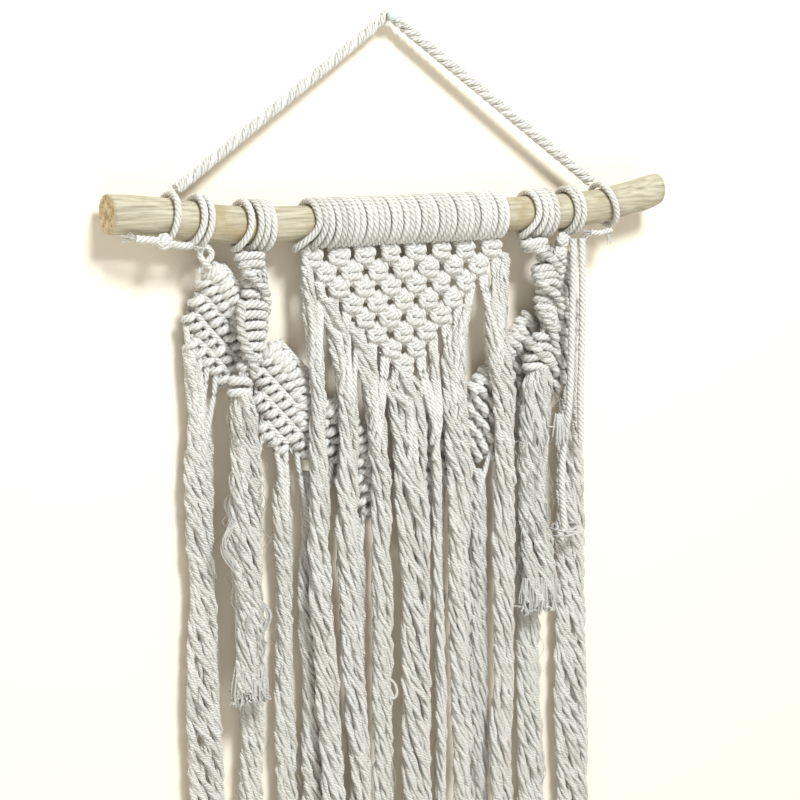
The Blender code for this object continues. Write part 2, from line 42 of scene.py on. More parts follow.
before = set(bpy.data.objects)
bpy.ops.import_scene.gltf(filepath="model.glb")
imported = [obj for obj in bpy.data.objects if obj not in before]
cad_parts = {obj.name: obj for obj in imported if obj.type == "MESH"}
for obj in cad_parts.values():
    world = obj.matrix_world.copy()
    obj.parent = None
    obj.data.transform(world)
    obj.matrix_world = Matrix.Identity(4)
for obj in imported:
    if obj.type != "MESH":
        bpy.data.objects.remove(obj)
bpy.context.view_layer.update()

MM = 0.001
SEED = 7
PLIES_IN_A_CORD = 3
# Room between the branch and the cords that go over it.
BRANCH_CLEARANCE = 0.35

# The eye: to the left of the hanging and a little above its middle, looking slightly down.
CAMERA_PLACE = (-821.05, -1387.27, 2.78)
CAMERA_YAW = 31.0
CAMERA_PITCH = 8.2
CAMERA_LENS = 122.04

DOWEL_Y = -16.0
DOWEL = (
    # along, height, radius
    (-186.5, -109.8, 11.5),
    (-172.0, -110.9, 11.6),
    (-156.0, -112.6, 11.6),
    (-140.0, -114.7, 11.5),
    (-125.0, -116.8, 11.3),
    (-110.0, -118.6, 11.1),
    (-90.0, -119.8, 10.9),
    (-60.0, -120.0, 10.7),
    (0.0, -120.0, 10.5),
    (60.0, -120.0, 10.5),
    (100.0, -119.9, 10.6),
    (120.0, -119.3, 10.8),
    (138.0, -118.1, 10.8),
    (155.0, -116.0, 10.7),
    (172.0, -112.6, 10.6),
    (181.0, -110.6, 10.8),
    (189.4, -108.5, 9.9),
)

HANGER = (
    # along, depth, height
    (-143.0, -14.6, -97.6),
    (-137.0, -14.2, -93.7),
    (-118.0, -13.4, -80.6),
    (-90.0, -12.2, -61.6),
    (-60.0, -11.0, -41.2),
    (-30.0, -9.6, -20.7),
    (-10.0, -8.6, -7.0),
    (-4.0, -8.2, -2.4),
    (0.0, -8.1, -0.6),
    (4.0, -8.2, -2.6),
    (10.0, -8.6, -7.3),
    (30.0, -9.6, -21.9),
    (60.0, -11.0, -43.6),
    (90.0, -12.2, -65.4),
    (118.0, -13.2, -85.6),
    (131.0, -13.8, -94.9),
    (140.5, -14.6, -102.2),
)

HEADINGS = {
    # name: where each turn of cord lies along the branch
    "heading_left_pair": (-133.1, -128.4),
    "heading_left_four": (-102.9, -96.7, -92.6, -88.4),
    "heading_centre": tuple(-58.5 + 4.14 * turn for turn in range(32)),
    "heading_right_four": (93.4, 98.1, 102.2, 106.3),
    "heading_right_pair": (121.6, 125.8),
}

# Where the hanger's two ties go round the branch.
TIE_LEFT_X = -150.0
TIE_RIGHT_X = 149.6

# How far the first turn of each group is drawn sideways where it leaves the branch below.
FLARES = {
    "heading_left_pair": -2.6,
    "heading_left_four": -4.6,
    "heading_centre": -11.5,
    "heading_right_four": -6.6,
    "heading_right_pair": -2.4,
}
# Places along the branch where two turns of the middle heading stand a little apart.
HEADING_GAPS = (-48.2, -25.4, -9.0, -0.6, 11.8, 24.2, 36.6, 53.2, 65.6)

# The loose ropes: along, depth, height.
ROPES = {
    "rope_long": (
        (121.6, -24.0, -136.0),
        (121.9, -24.0, -150.0),
        (121.9, -24.0, -165.0),
        (121.4, -24.0, -180.0),
        (121.1, -24.0, -195.0),
        (120.8, -24.0, -210.0),
        (120.4, -24.0, -225.0),
        (119.4, -24.0, -240.0),
        (117.6, -23.6, -255.0),
        (116.0, -23.0, -269.0),
        (115.6, -22.4, -283.0),
        (116.6, -22.0, -298.0),
        (118.4, -22.0, -317.0),
    ),
    "rope_short": (
        (128.0, -24.0, -136.0),
        (128.4, -24.0, -152.0),
        (128.8, -24.0, -168.0),
        (128.9, -24.0, -184.0),
        (128.7, -24.0, -200.0),
        (128.3, -24.0, -216.0),
        (128.1, -24.0, -232.0),
        (128.4, -24.0, -248.0),
        (129.2, -23.6, -262.0),
    ),
}

FRINGE_END = -600.0
# The bundles of the fringe of each edge, from the top down: height, place along the branch, width.
NET_FRINGE = {
    "net_fringe_left": {
        "edge": (
            (-147.5, -62.0, 6.6),
            (-165.0, -60.6, 7.4),
            (-183.0, -59.4, 9.0),
            (-201.0, -56.7, 9.5),
            (-219.0, -55.3, 8.5),
            (-237.0, -55.1, 10.0),
            (-262.0, -55.2, 12.0),
            (-307.0, -54.9, 14.0),
            (-343.0, -53.9, 15.0),
            (-385.0, -50.6, 15.5),
            (-427.0, -47.6, 15.5),
            (-456.0, -46.2, 16.0),
            (-530.0, -45.0, 15.0),
            (FRINGE_END, -45.0, 13.0),
        ),
        "second": (
            (-158.0, -54.6, 6.0),
            (-163.9, -52.2, 6.6),
            (-166.0, -49.0, 12.6),
            (-174.0, -46.4, 11.0),
            (-184.0, -42.6, 13.0),
            (-202.0, -39.2, 12.9),
            (-220.0, -35.5, 12.4),
            (-238.0, -35.2, 13.0),
            (-266.0, -35.6, 15.0),
            (-309.0, -36.2, 15.0),
            (-345.0, -34.0, 15.6),
            (-387.0, -32.1, 15.0),
            (-430.0, -28.7, 14.0),
            (-459.0, -27.0, 13.6),
            (-530.0, -27.0, 13.0),
            (FRINGE_END, -27.0, 11.6),
        ),
        "third": (
            (-182.8, -33.6, 5.0),
            (-187.0, -28.9, 9.6),
            (-192.3, -27.2, 9.6),
            (-194.0, -25.8, 12.0),
            (-203.0, -22.8, 13.2),
            (-221.0, -19.3, 14.0),
            (-240.0, -15.6, 13.5),
            (-268.0, -12.9, 13.0),
            (-311.0, -12.2, 13.0),
            (-347.0, -11.8, 14.5),
            (-390.0, -11.8, 14.5),
            (-432.0, -11.5, 13.5),
            (-461.0, -11.1, 12.9),
            (-530.0, -11.0, 12.4),
            (FRINGE_END, -11.0, 11.0),
        ),
    },
    "net_fringe_centre": {
        "middle": (
            (-212.2, 1.8, 20.0),
            (-217.0, 2.4, 25.6),
            (-232.5, 4.9, 25.6),
            (-251.0, 6.9, 24.6),
            (-269.7, 7.9, 23.4),
            (-313.5, 10.6, 22.4),
            (-350.0, 11.5, 19.4),
            (-378.0, 11.5, 19.5),
            (-414.0, 12.0, 21.0),
            (-435.0, 11.6, 19.6),
            (-464.0, 12.4, 19.6),
            (-530.0, 12.0, 19.0),
            (FRINGE_END, 12.0, 16.0),
        ),
    },
    "net_fringe_right": {
        "slim": (
            (-201.5, 24.6, 4.6),
            (-215.0, 23.6, 6.6),
            (-234.0, 24.0, 7.2),
            (-271.0, 26.0, 6.4),
            (-315.0, 27.2, 5.0),
            (-352.0, 27.6, 5.0),
            (-410.0, 30.0, 7.0),
            (-467.0, 29.6, 6.0),
            (FRINGE_END, 30.0, 6.0),
        ),
        "fourth": (
            (-177.0, 46.6, 6.0),
            (-186.0, 42.6, 11.0),
            (-196.0, 39.4, 15.0),
            (-207.0, 38.4, 17.4),
            (-226.0, 38.4, 18.0),
            (-244.0, 39.4, 18.0),
            (-273.0, 42.3, 18.0),
            (-317.0, 42.4, 15.0),
            (-354.0, 42.6, 15.0),
            (-397.0, 43.6, 13.4),
            (-440.0, 45.4, 13.4),
            (-469.0, 44.8, 12.4),
            (FRINGE_END, 45.0, 12.0),
        ),
        "fifth": (
            (-147.0, 74.4, 6.4),
            (-158.0, 71.6, 11.0),
            (-172.0, 69.2, 14.6),
            (-190.0, 68.5, 15.5),
            (-209.0, 70.8, 17.0),
            (-228.0, 74.0, 15.0),
            (-247.0, 74.7, 13.9),
            (-276.0, 75.2, 13.6),
            (-320.0, 74.5, 15.6),
            (-357.0, 74.7, 16.0),
            (-401.0, 75.4, 13.6),
            (-444.0, 73.1, 17.0),
            (-474.0, 73.8, 16.0),
            (FRINGE_END, 74.0, 14.0),
        ),
    },
}
LEAF_FRINGE = {
    "leaf_fringe_left": {
        "outer": (
            (-192.0, -134.0, 6.0),
            (-206.0, -130.5, 10.7),
            (-228.0, -128.3, 13.7),
            (-259.0, -128.0, 18.6),
            (-301.0, -127.4, 17.0),
            (-337.0, -126.3, 17.1),
            (-391.0, -126.9, 21.6),
            (-447.0, -124.9, 23.4),
            (-520.0, -124.0, 21.0),
            (FRINGE_END, -123.0, 18.0),
        ),
        "under_tassel": (
            (-220.0, -104.0, 9.0),
            (-245.0, -99.0, 12.0),
            (-300.0, -97.0, 14.0),
            (-402.0, -94.6, 17.0),
            (-451.0, -95.6, 14.8),
            (FRINGE_END, -96.0, 14.0),
        ),
        "inner": (
            (-262.0, -72.6, 9.0),
            (-280.0, -73.8, 11.5),
            (-307.0, -73.1, 11.5),
            (-343.0, -72.6, 10.2),
            (-370.0, -72.8, 10.2),
            (-426.0, -72.4, 14.2),
            (-455.0, -71.9, 13.2),
            (FRINGE_END, -72.0, 12.6),
        ),
        "behind_edge": (
            (-271.0, -57.0, 8.0),
            (-309.0, -55.6, 10.0),
            (-344.0, -57.0, 13.4),
            (-387.0, -54.4, 13.3),
            (-429.0, -53.4, 16.0),
            (-457.0, -53.4, 16.4),
            (FRINGE_END, -53.0, 15.0),
        ),
        "behind_third": (
            (-302.0, -22.4, 7.0),
            (-350.0, -21.4, 8.0),
            (-450.0, -21.0, 9.0),
            (FRINGE_END, -21.0, 9.0),
        ),
    },
    "leaf_fringe_right": {
        "behind_slim": (
            (-302.0, 31.0, 5.0),
            (-340.0, 35.0, 6.0),
            (-450.0, 36.0, 7.0),
            (FRINGE_END, 36.0, 8.0),
        ),
        "twisted": (
            (-280.0, 63.0, 12.0),
            (-358.0, 63.6, 13.0),
            (-475.0, 64.2, 13.4),
            (FRINGE_END, 64.0, 12.6),
        ),
        "under_tassel": (
            (-242.0, 101.0, 9.0),
            (-300.0, 99.6, 14.0),
            (-369.0, 100.4, 17.0),
            (-406.0, 100.6, 17.2),
            (-451.0, 102.4, 18.6),
            (-481.0, 103.4, 19.6),
            (FRINGE_END, 104.0, 17.0),
        ),
        "outer": (
            (-231.0, 129.6, 11.0),
            (-250.0, 130.2, 17.0),
            (-277.0, 131.0, 20.4),
            (-327.0, 131.6, 20.9),
            (-365.0, 132.0, 21.0),
            (-410.0, 132.6, 24.0),
            (-454.0, 134.0, 24.8),
            (-485.0, 135.4, 23.0),
            (FRINGE_END, 135.0, 20.0),
        ),
    },
}
LEAVES = {
    # name: outline of the leaf, as place along the branch and height
    "leaf_left_outer": (
        (-126.8, -143.0),
        (-120.4, -142.6),
        (-112.0, -147.0),
        (-103.0, -157.0),
        (-95.0, -170.0),
        (-92.5, -180.0),
        (-98.0, -198.0),
        (-112.0, -211.5),
        (-120.0, -206.0),
        (-129.0, -194.0),
        (-137.0, -180.0),
        (-136.0, -167.0),
        (-131.0, -156.0),
        (-128.4, -149.0),
    ),
    "leaf_left_inner": (
        (-90.5, -188.0),
        (-77.0, -189.5),
        (-65.0, -202.0),
        (-55.5, -213.0),
        (-52.5, -228.0),
        (-52.5, -245.0),
        (-57.0, -262.0),
        (-66.0, -258.0),
        (-77.0, -250.0),
        (-87.0, -242.0),
        (-92.0, -228.0),
        (-93.0, -206.0),
    ),
    "leaf_left_centre": (
        (-49.0, -226.0),
        (-38.0, -222.5),
        (-24.0, -236.0),
        (-11.0, -252.0),
        (-5.0, -270.0),
        (-7.0, -290.0),
        (-16.0, -297.0),
        (-30.0, -281.0),
        (-42.0, -265.0),
        (-48.5, -248.0),
    ),
    "leaf_right_centre": (
        (13.0, -252.0),
        (32.0, -236.0),
        (44.0, -223.0),
        (51.5, -227.0),
        (51.0, -248.0),
        (47.0, -264.0),
        (38.0, -281.0),
        (24.0, -297.0),
        (15.0, -290.0),
        (13.0, -270.0),
    ),
    "leaf_right_inner": (
        (57.0, -221.5),
        (71.0, -211.0),
        (86.0, -196.0),
        (99.0, -181.5),
        (102.6, -192.0),
        (101.0, -208.0),
        (95.0, -229.0),
        (85.0, -249.0),
        (73.0, -268.0),
        (61.0, -272.0),
        (55.0, -262.0),
        (54.5, -236.0),
    ),
    "leaf_right_outer": (
        (112.5, -137.0),
        (119.0, -137.0),
        (120.0, -147.0),
        (127.0, -157.0),
        (133.0, -172.0),
        (134.5, -190.0),
        (133.0, -210.0),
        (128.0, -224.0),
        (118.0, -231.0),
        (109.0, -222.0),
        (105.0, -200.0),
        (107.0, -176.0),
        (112.0, -158.0),
    ),
}

# The cores of the sinnets, and the tassels: height, place along the branch, width.
SINNETS = {
    "sinnet_left": (
        (-137.0, -98.4, 16.7),
        (-147.0, -94.6, 12.0),
        (-156.0, -93.8, 12.0),
        (-162.0, -96.3, 18.6),
        (-171.0, -97.0, 18.3),
        (-180.0, -97.6, 17.3),
        (-189.0, -97.2, 15.8),
        (-196.0, -98.6, 13.0),
        (-204.0, -103.0, 13.8),
        (-215.5, -106.0, 15.3),
    ),
    "sinnet_right": (
        (-137.4, 97.4, 15.6),
        (-145.5, 103.6, 12.6),
        (-154.6, 104.0, 18.0),
        (-167.0, 105.6, 17.6),
        (-178.0, 105.4, 18.4),
        (-188.5, 105.6, 16.8),
        (-199.6, 102.6, 20.0),
        (-215.5, 99.6, 20.4),
    ),
}

TASSELS = {
    "tassel_left": (
        (-216.2, -106.0, 15.0),
        (-232.0, -105.4, 15.8),
        (-259.0, -104.2, 18.8),
        (-295.0, -104.8, 22.0),
        (-317.0, -104.4, 20.0),
        (-336.0, -103.2, 16.8),
        (-350.0, -102.4, 17.0),
        (-364.0, -102.0, 17.8),
        (-377.0, -102.2, 18.4),
        (-390.0, -102.3, 21.4),
    ),
    "tassel_right": (
        (-216.2, 98.0, 18.6),
        (-239.0, 96.4, 22.0),
        (-257.0, 94.6, 19.7),
        (-276.0, 94.4, 19.6),
        (-301.0, 94.2, 19.0),
        (-321.0, 97.6, 21.4),
        (-345.0, 99.6, 23.0),
        (-359.0, 99.4, 25.0),
    ),
}

# The rungs of each sinnet: left along, left height, right along, right height, depth.
RUNGS = {
    "sinnet_left": (
        (-108.2, -136.4, -93.2, -136.2, -25.0),
        (-106.0, -140.8, -93.4, -141.0, -25.4),
        (-103.0, -145.6, -95.2, -145.2, -23.0),
        (-102.4, -152.0, -95.6, -153.6, -22.0),
        (-103.0, -157.6, -94.8, -158.8, -22.6),
        (-106.0, -163.8, -91.8, -165.0, -25.0),
        (-106.4, -169.6, -91.8, -170.4, -25.6),
        (-106.8, -176.2, -93.2, -175.8, -25.8),
        (-106.2, -182.4, -93.4, -181.8, -25.4),
        (-104.2, -188.4, -92.8, -188.8, -24.6),
        (-102.4, -194.0, -94.8, -195.4, -22.6),
        (-106.4, -199.4, -98.6, -201.4, -22.0),
        (-112.8, -207.2, -102.4, -208.2, -25.0),
        (-113.0, -213.8, -102.4, -214.8, -25.6),
    ),
    "sinnet_right": (
        (86.8, -137.6, 101.6, -136.4, -25.0),
        (89.4, -140.6, 101.4, -140.8, -25.4),
        (99.6, -146.6, 108.8, -147.4, -22.4),
        (95.4, -153.6, 107.4, -152.4, -25.2),
        (95.4, -157.6, 109.0, -157.0, -25.8),
        (97.2, -161.6, 109.6, -161.8, -25.2),
        (99.4, -166.4, 110.8, -168.6, -22.4),
        (97.8, -171.8, 107.4, -173.8, -22.6),
        (98.8, -176.8, 108.6, -178.6, -22.4),
        (101.0, -182.2, 110.4, -184.6, -22.4),
        (103.4, -188.6, 112.2, -190.4, -22.8),
        (96.8, -194.6, 110.4, -196.8, -23.0),
        (92.4, -200.4, 108.0, -202.6, -24.4),
        (89.8, -207.4, 104.4, -206.0, -25.2),
        (89.0, -212.4, 103.0, -213.6, -25.4),
    ),
}
# The ridges of bumps that wind round the sinnets: along, depth, height.
RIDGES = {
    "sinnet_left": (
        (
            (-107.6, -25.4, -139.6),
            (-102.8, -26.8, -146.5),
            (-98.1, -27.0, -150.6),
            (-93.4, -26.0, -155.4),
            (-90.6, -23.6, -161.0),
            (-90.2, -22.4, -167.6),
            (-91.6, -22.2, -175.0),
            (-92.4, -22.0, -184.0),
        ),
        (
            (-106.8, -23.0, -161.8),
            (-107.6, -24.2, -170.1),
            (-108.0, -25.0, -176.0),
            (-107.2, -25.8, -182.4),
            (-105.4, -26.4, -188.0),
            (-103.2, -26.8, -193.4),
            (-100.6, -26.4, -199.0),
            (-100.2, -24.6, -205.4),
        ),
    ),
    "sinnet_right": (
        (
            (88.4, -25.6, -138.4),
            (96.4, -26.8, -142.4),
            (101.8, -27.0, -146.0),
            (107.2, -26.6, -149.8),
            (110.8, -25.0, -153.4),
            (112.0, -22.6, -158.8),
        ),
        (
            (94.2, -24.6, -156.0),
            (97.7, -26.4, -162.6),
            (103.1, -27.0, -166.2),
            (108.5, -26.6, -170.2),
            (112.2, -25.0, -174.6),
            (113.6, -22.6, -181.4),
        ),
        (
            (95.6, -25.4, -174.6),
            (98.9, -26.6, -181.5),
            (102.7, -27.0, -187.2),
            (106.0, -26.6, -192.8),
            (108.0, -25.4, -199.4),
            (109.4, -24.4, -206.4),
        ),
        (
            (88.6, -25.0, -196.0),
            (92.6, -26.4, -201.2),
            (97.0, -27.0, -205.4),
            (102.4, -26.6, -209.8),
            (107.6, -25.0, -213.0),
        ),
    ),
}
# The upper edge of each leaf, which carries the largest wraps: along, height.
LEAF_EDGES = {
    "leaf_left_outer": (
        (-121.6, -143.0),
        (-117.4, -146.0),
        (-112.1, -151.7),
        (-106.0, -160.6),
        (-100.4, -170.4),
        (-97.4, -180.0),
    ),
    "leaf_left_inner": (
        (-82.0, -191.6),
        (-74.3, -196.1),
        (-68.5, -202.4),
        (-61.6, -211.4),
        (-57.6, -222.6),
        (-56.8, -238.0),
    ),
    "leaf_left_centre": (
        (-38.0, -226.8),
        (-27.0, -239.0),
        (-15.4, -253.6),
        (-9.8, -271.0),
        (-11.0, -287.0),
    ),
    "leaf_right_centre": (
        (38.0, -227.0),
        (29.6, -239.6),
        (19.6, -253.6),
        (17.4, -271.0),
        (19.4, -287.0),
    ),
    "leaf_right_inner": (
        (96.8, -187.0),
        (92.0, -191.6),
        (86.0, -198.8),
        (77.6, -206.6),
        (69.0, -214.6),
        (60.6, -225.0),
    ),
    "leaf_right_outer": ((122.0, -146.0), (117.0, -154.0), (112.6, -164.0), (110.4, -176.0)),
}
# Places on each leaf's lower edge where cords leave it: along, height.
LEAF_FOOT = {
    "leaf_left_outer": (
        (-135.4, -178.0),
        (-131.6, -186.0),
        (-127.6, -193.6),
        (-122.6, -200.4),
        (-117.0, -206.6),
    ),
    "leaf_left_inner": (
        (-91.0, -232.0),
        (-86.0, -240.4),
        (-79.0, -246.4),
        (-71.6, -252.6),
        (-64.0, -257.4),
    ),
    "leaf_left_centre": (
        (-45.6, -253.0),
        (-40.6, -264.0),
        (-33.4, -274.6),
        (-25.6, -284.0),
        (-18.4, -292.6),
    ),
    "leaf_right_centre": ((48.6, -254.0), (43.4, -266.0), (37.0, -277.4), (30.4, -287.0)),
    "leaf_right_inner": ((98.0, -232.0), (91.0, -240.6), (83.0, -247.6), (74.0, -254.0)),
    "leaf_right_outer": ((136.0, -180.0), (132.0, -190.0), (127.0, -198.0)),
}
# The two cords between the branch and the outer left leaf, which stand apart and then cross.
LEAF_NECK = (
    ((-127.6, -17.0, -129.0), (-130.9, -19.0, -134.6), (-127.6, -19.8, -139.6), (-122.6, -17.6, -143.6)),
    ((-126.6, -17.0, -129.0), (-123.3, -19.0, -134.4), (-126.4, -18.6, -139.2), (-130.0, -15.6, -144.0)),
)
ROPE_RADIUS = 2.35
# The two small knots beside the ropes.
ROPE_KNOTS = ((117.2, -20.0, -136.6), (115.6, -19.0, -144.4))
# The thread that ties the long rope's end to the bundle behind it: along, height and lean of each
# turn, then the middle of the turns and how far they reach to the sides and to front and back.
ROPE_TIE = ((122.2, -316.4, 1.2), (122.0, -318.0, -0.8), (122.4, -319.8, 1.6))
ROPE_TIE_Y = -15.2
ROPE_TIE_WIDTH = 8.0
ROPE_TIE_DEPTH = 9.8
# One small loop that stands out from the net's fringe.
STRAY_LOOP = (
    (-8.6, -20.6, -395.0),
    (-5.4, -22.6, -398.0),
    (-3.7, -23.2, -402.4),
    (-4.1, -23.2, -406.2),
    (-6.4, -22.8, -407.6),
    (-9.4, -21.0, -405.2),
)
# Frayed threads on the left tassel: where they leave it, how far out they reach, where they return.
TASSEL_BOWS = (
    ((-113.0, -290.0), (-121.6, -302.0), (-112.6, -318.0)),
    ((-106.0, -330.0), (-92.4, -344.0), (-99.0, -362.0)),
    ((-97.0, -332.0), (-106.4, -350.0), (-95.0, -362.0)),
)

# Depths of the layers, and how thick the bundles in them are.
BACK_Y = -9.0
BACK_DEPTH = 9.0
FRINGE_Y = -20.0
FRINGE_DEPTH = 10.5
TASSEL_Y = -22.0
TASSEL_DEPTH = 12.0
SINNET_BACK_Y = -18.4
NET_Y = -18.0
# The net: its middle, its rows and the spacing of its knots.
NET_X = 3.1
NET_ROWS = 8
KNOT_PITCH = 17.5
FIRST_ROW_Z = -140.3
ROW_PITCH = 9.5
# How far apart the rows of a leaf are, with and without a raised cord between them.
RIDGED_ROW_PITCH = 9.7
PLAIN_ROW_PITCH = 7.6
SHORTEST_ROW = 9.0
HITCH_SPACING = 6.4
WARP_SPACING = 3.8
HEADING_POINTS = 72
# Millimetres between the points along a bundle, the width past which it has cords inside its ring,
# and the fullness past which it has more of them.
BUNDLE_STEP = 4.0
WIDE_BUNDLE = 11.0
FULL_BUNDLE = 2.5


# ---- Small helpers -----------------------------------------------------------------------------


def linear(code):
    """The linear colour of an sRGB hex value, with full alpha."""
    channels = [int(code[start : start + 2], 16) / 255 for start in (1, 3, 5)]
    return (*[c / 12.92 if c <= 0.04045 else ((c + 0.055) / 1.055) ** 2.4 for c in channels], 1.0)


def fill(tree, node, inputs):
    """Sets a node's inputs, by name or number, as values or as links."""
    for name, value in inputs.items():
        socket = node.inputs[name]
        if isinstance(value, bpy.types.NodeSocket):
            tree.links.new(value, socket)
        else:
            socket.default_value = value
    return node


def add(tree, kind, inputs=None, **settings):
    """Adds one node to a tree, with its settings and its inputs."""
    node = tree.nodes.new(kind)
    for name, value in settings.items():
        setattr(node, name, value)
    return fill(tree, node, inputs or {})


def set_stops(ramp, *stops):
    """Gives a colour ramp its two stops, each a place and a colour."""
    for element, (place, colour) in zip(ramp.color_ramp.elements, stops):
        element.position = place
        element.color = colour


def smooth(rows, step):
    """Rows read off a Catmull-Rom curve through the given rows, one about every step millimetres."""
    rows = np.asarray(rows, float)
    ends = np.vstack([2 * rows[0] - rows[1], rows, 2 * rows[-1] - rows[-2]])
    made = []
    for before, start, end, after in zip(ends, ends[1:], ends[2:], ends[3:]):
        count = max(1, round(float(np.linalg.norm((end - start)[:3])) / step))
        t = (np.arange(count) / count)[:, None]
        made.append(
            0.5
            * (
                2 * start
                + (end - before) * t
                + (2 * before - 5 * start + 4 * end - after) * t**2
                + (3 * start - before - 3 * end + after) * t**3
            )
        )
    made.append(rows[-1:])
    return np.vstack(made)


def run_of(points):
    """The distance along a line of points at each of them."""
    steps = np.linalg.norm(np.diff(points, axis=0), axis=1)
    return np.concatenate([[0.0], np.cumsum(steps)])


def headings_along(line):
    """The direction of a line at each of its points, one long."""
    heading = np.gradient(line, axis=0)
    return heading / np.linalg.norm(heading, axis=1)[:, None]


def dowel_at(along, column):
    """The branch's height (column 1) or radius (column 2) at a place along it."""
    table = np.array(DOWEL)
    return float(np.interp(along, table[:, 0], table[:, column]))


def over_branch(along, radius):
    """How far from the branch's axis a cord lies that goes over it."""
    return dowel_at(along, 2) + BRANCH_CLEARANCE + radius


def wander(rng, run, reach, length):
    """A slow sideways drift in two directions, as a hand-laid strand has."""
    drift = np.zeros((len(run), 2))
    for share, wave in ((0.65, length), (0.35, 0.37 * length)):
        turn = rng.uniform(0, 2 * math.pi, 2)
        stretch = rng.uniform(0.8, 1.25, 2)
        drift += share * reach * np.sin(2 * math.pi * run[:, None] / (wave * stretch) + turn)
    return drift


class Yarn:
    """Paths of cord that become one mesh: points, thickness at each point, tone and closure."""

    def __init__(self):
        self.points = []
        self.edges = []
        self.radii = []
        self.tones = []
        self.count = 0

    def lay(self, points, radius, tone=0.5, closed=False):
        points = np.asarray(points, float)
        number = len(points)
        self.points.append(points)
        self.radii.append(np.broadcast_to(radius, number))
        self.tones.append(np.full(number, tone))
        chain = np.arange(number - 1)[:, None] + [0, 1] + self.count
        if closed:
            chain = np.vstack([chain, [self.count + number - 1, self.count]])
        self.edges.append(chain)
        self.count += number

    def mesh(self, name):
        mesh = bpy.data.meshes.new(name)
        points = np.vstack(self.points) * MM
        edges = np.vstack(self.edges)
        mesh.from_pydata(points.tolist(), edges.tolist(), [])
        for label, values in (("thick", self.radii), ("tone", self.tones)):
            scale = MM if label == "thick" else 1.0
            attribute = mesh.attributes.new(label, "FLOAT", "POINT")
            attribute.data.foreach_set("value", np.concatenate(values) * scale)
        return mesh


# ---- Geometry Nodes ----------------------------------------------------------------------------


def new_tree(name, sockets):
    tree = bpy.data.node_groups.new(name, "GeometryNodeTree")
    tree.interface.new_socket("Geometry", in_out="INPUT", socket_type="NodeSocketGeometry")
    for label, kind in sockets:
        tree.interface.new_socket(label, in_out="INPUT", socket_type=kind)
    tree.interface.new_socket("Geometry", in_out="OUTPUT", socket_type="NodeSocketGeometry")
    return tree, tree.nodes.new("NodeGroupInput"), tree.nodes.new("NodeGroupOutput")


def close_tree(tree, geometry, given, output):
    """Every tree ends in smooth shading, real geometry and its material."""
    shaded = add(tree, "GeometryNodeSetShadeSmooth", {"Geometry": geometry})
    real = add(tree, "GeometryNodeRealizeInstances", {"Geometry": shaded.outputs[0]})
    dressed = add(
        tree,
        "GeometryNodeSetMaterial",
        {"Geometry": real.outputs[0], "Material": given.outputs["Material"]},
    )
    tree.links.new(dressed.outputs[0], output.inputs[0])


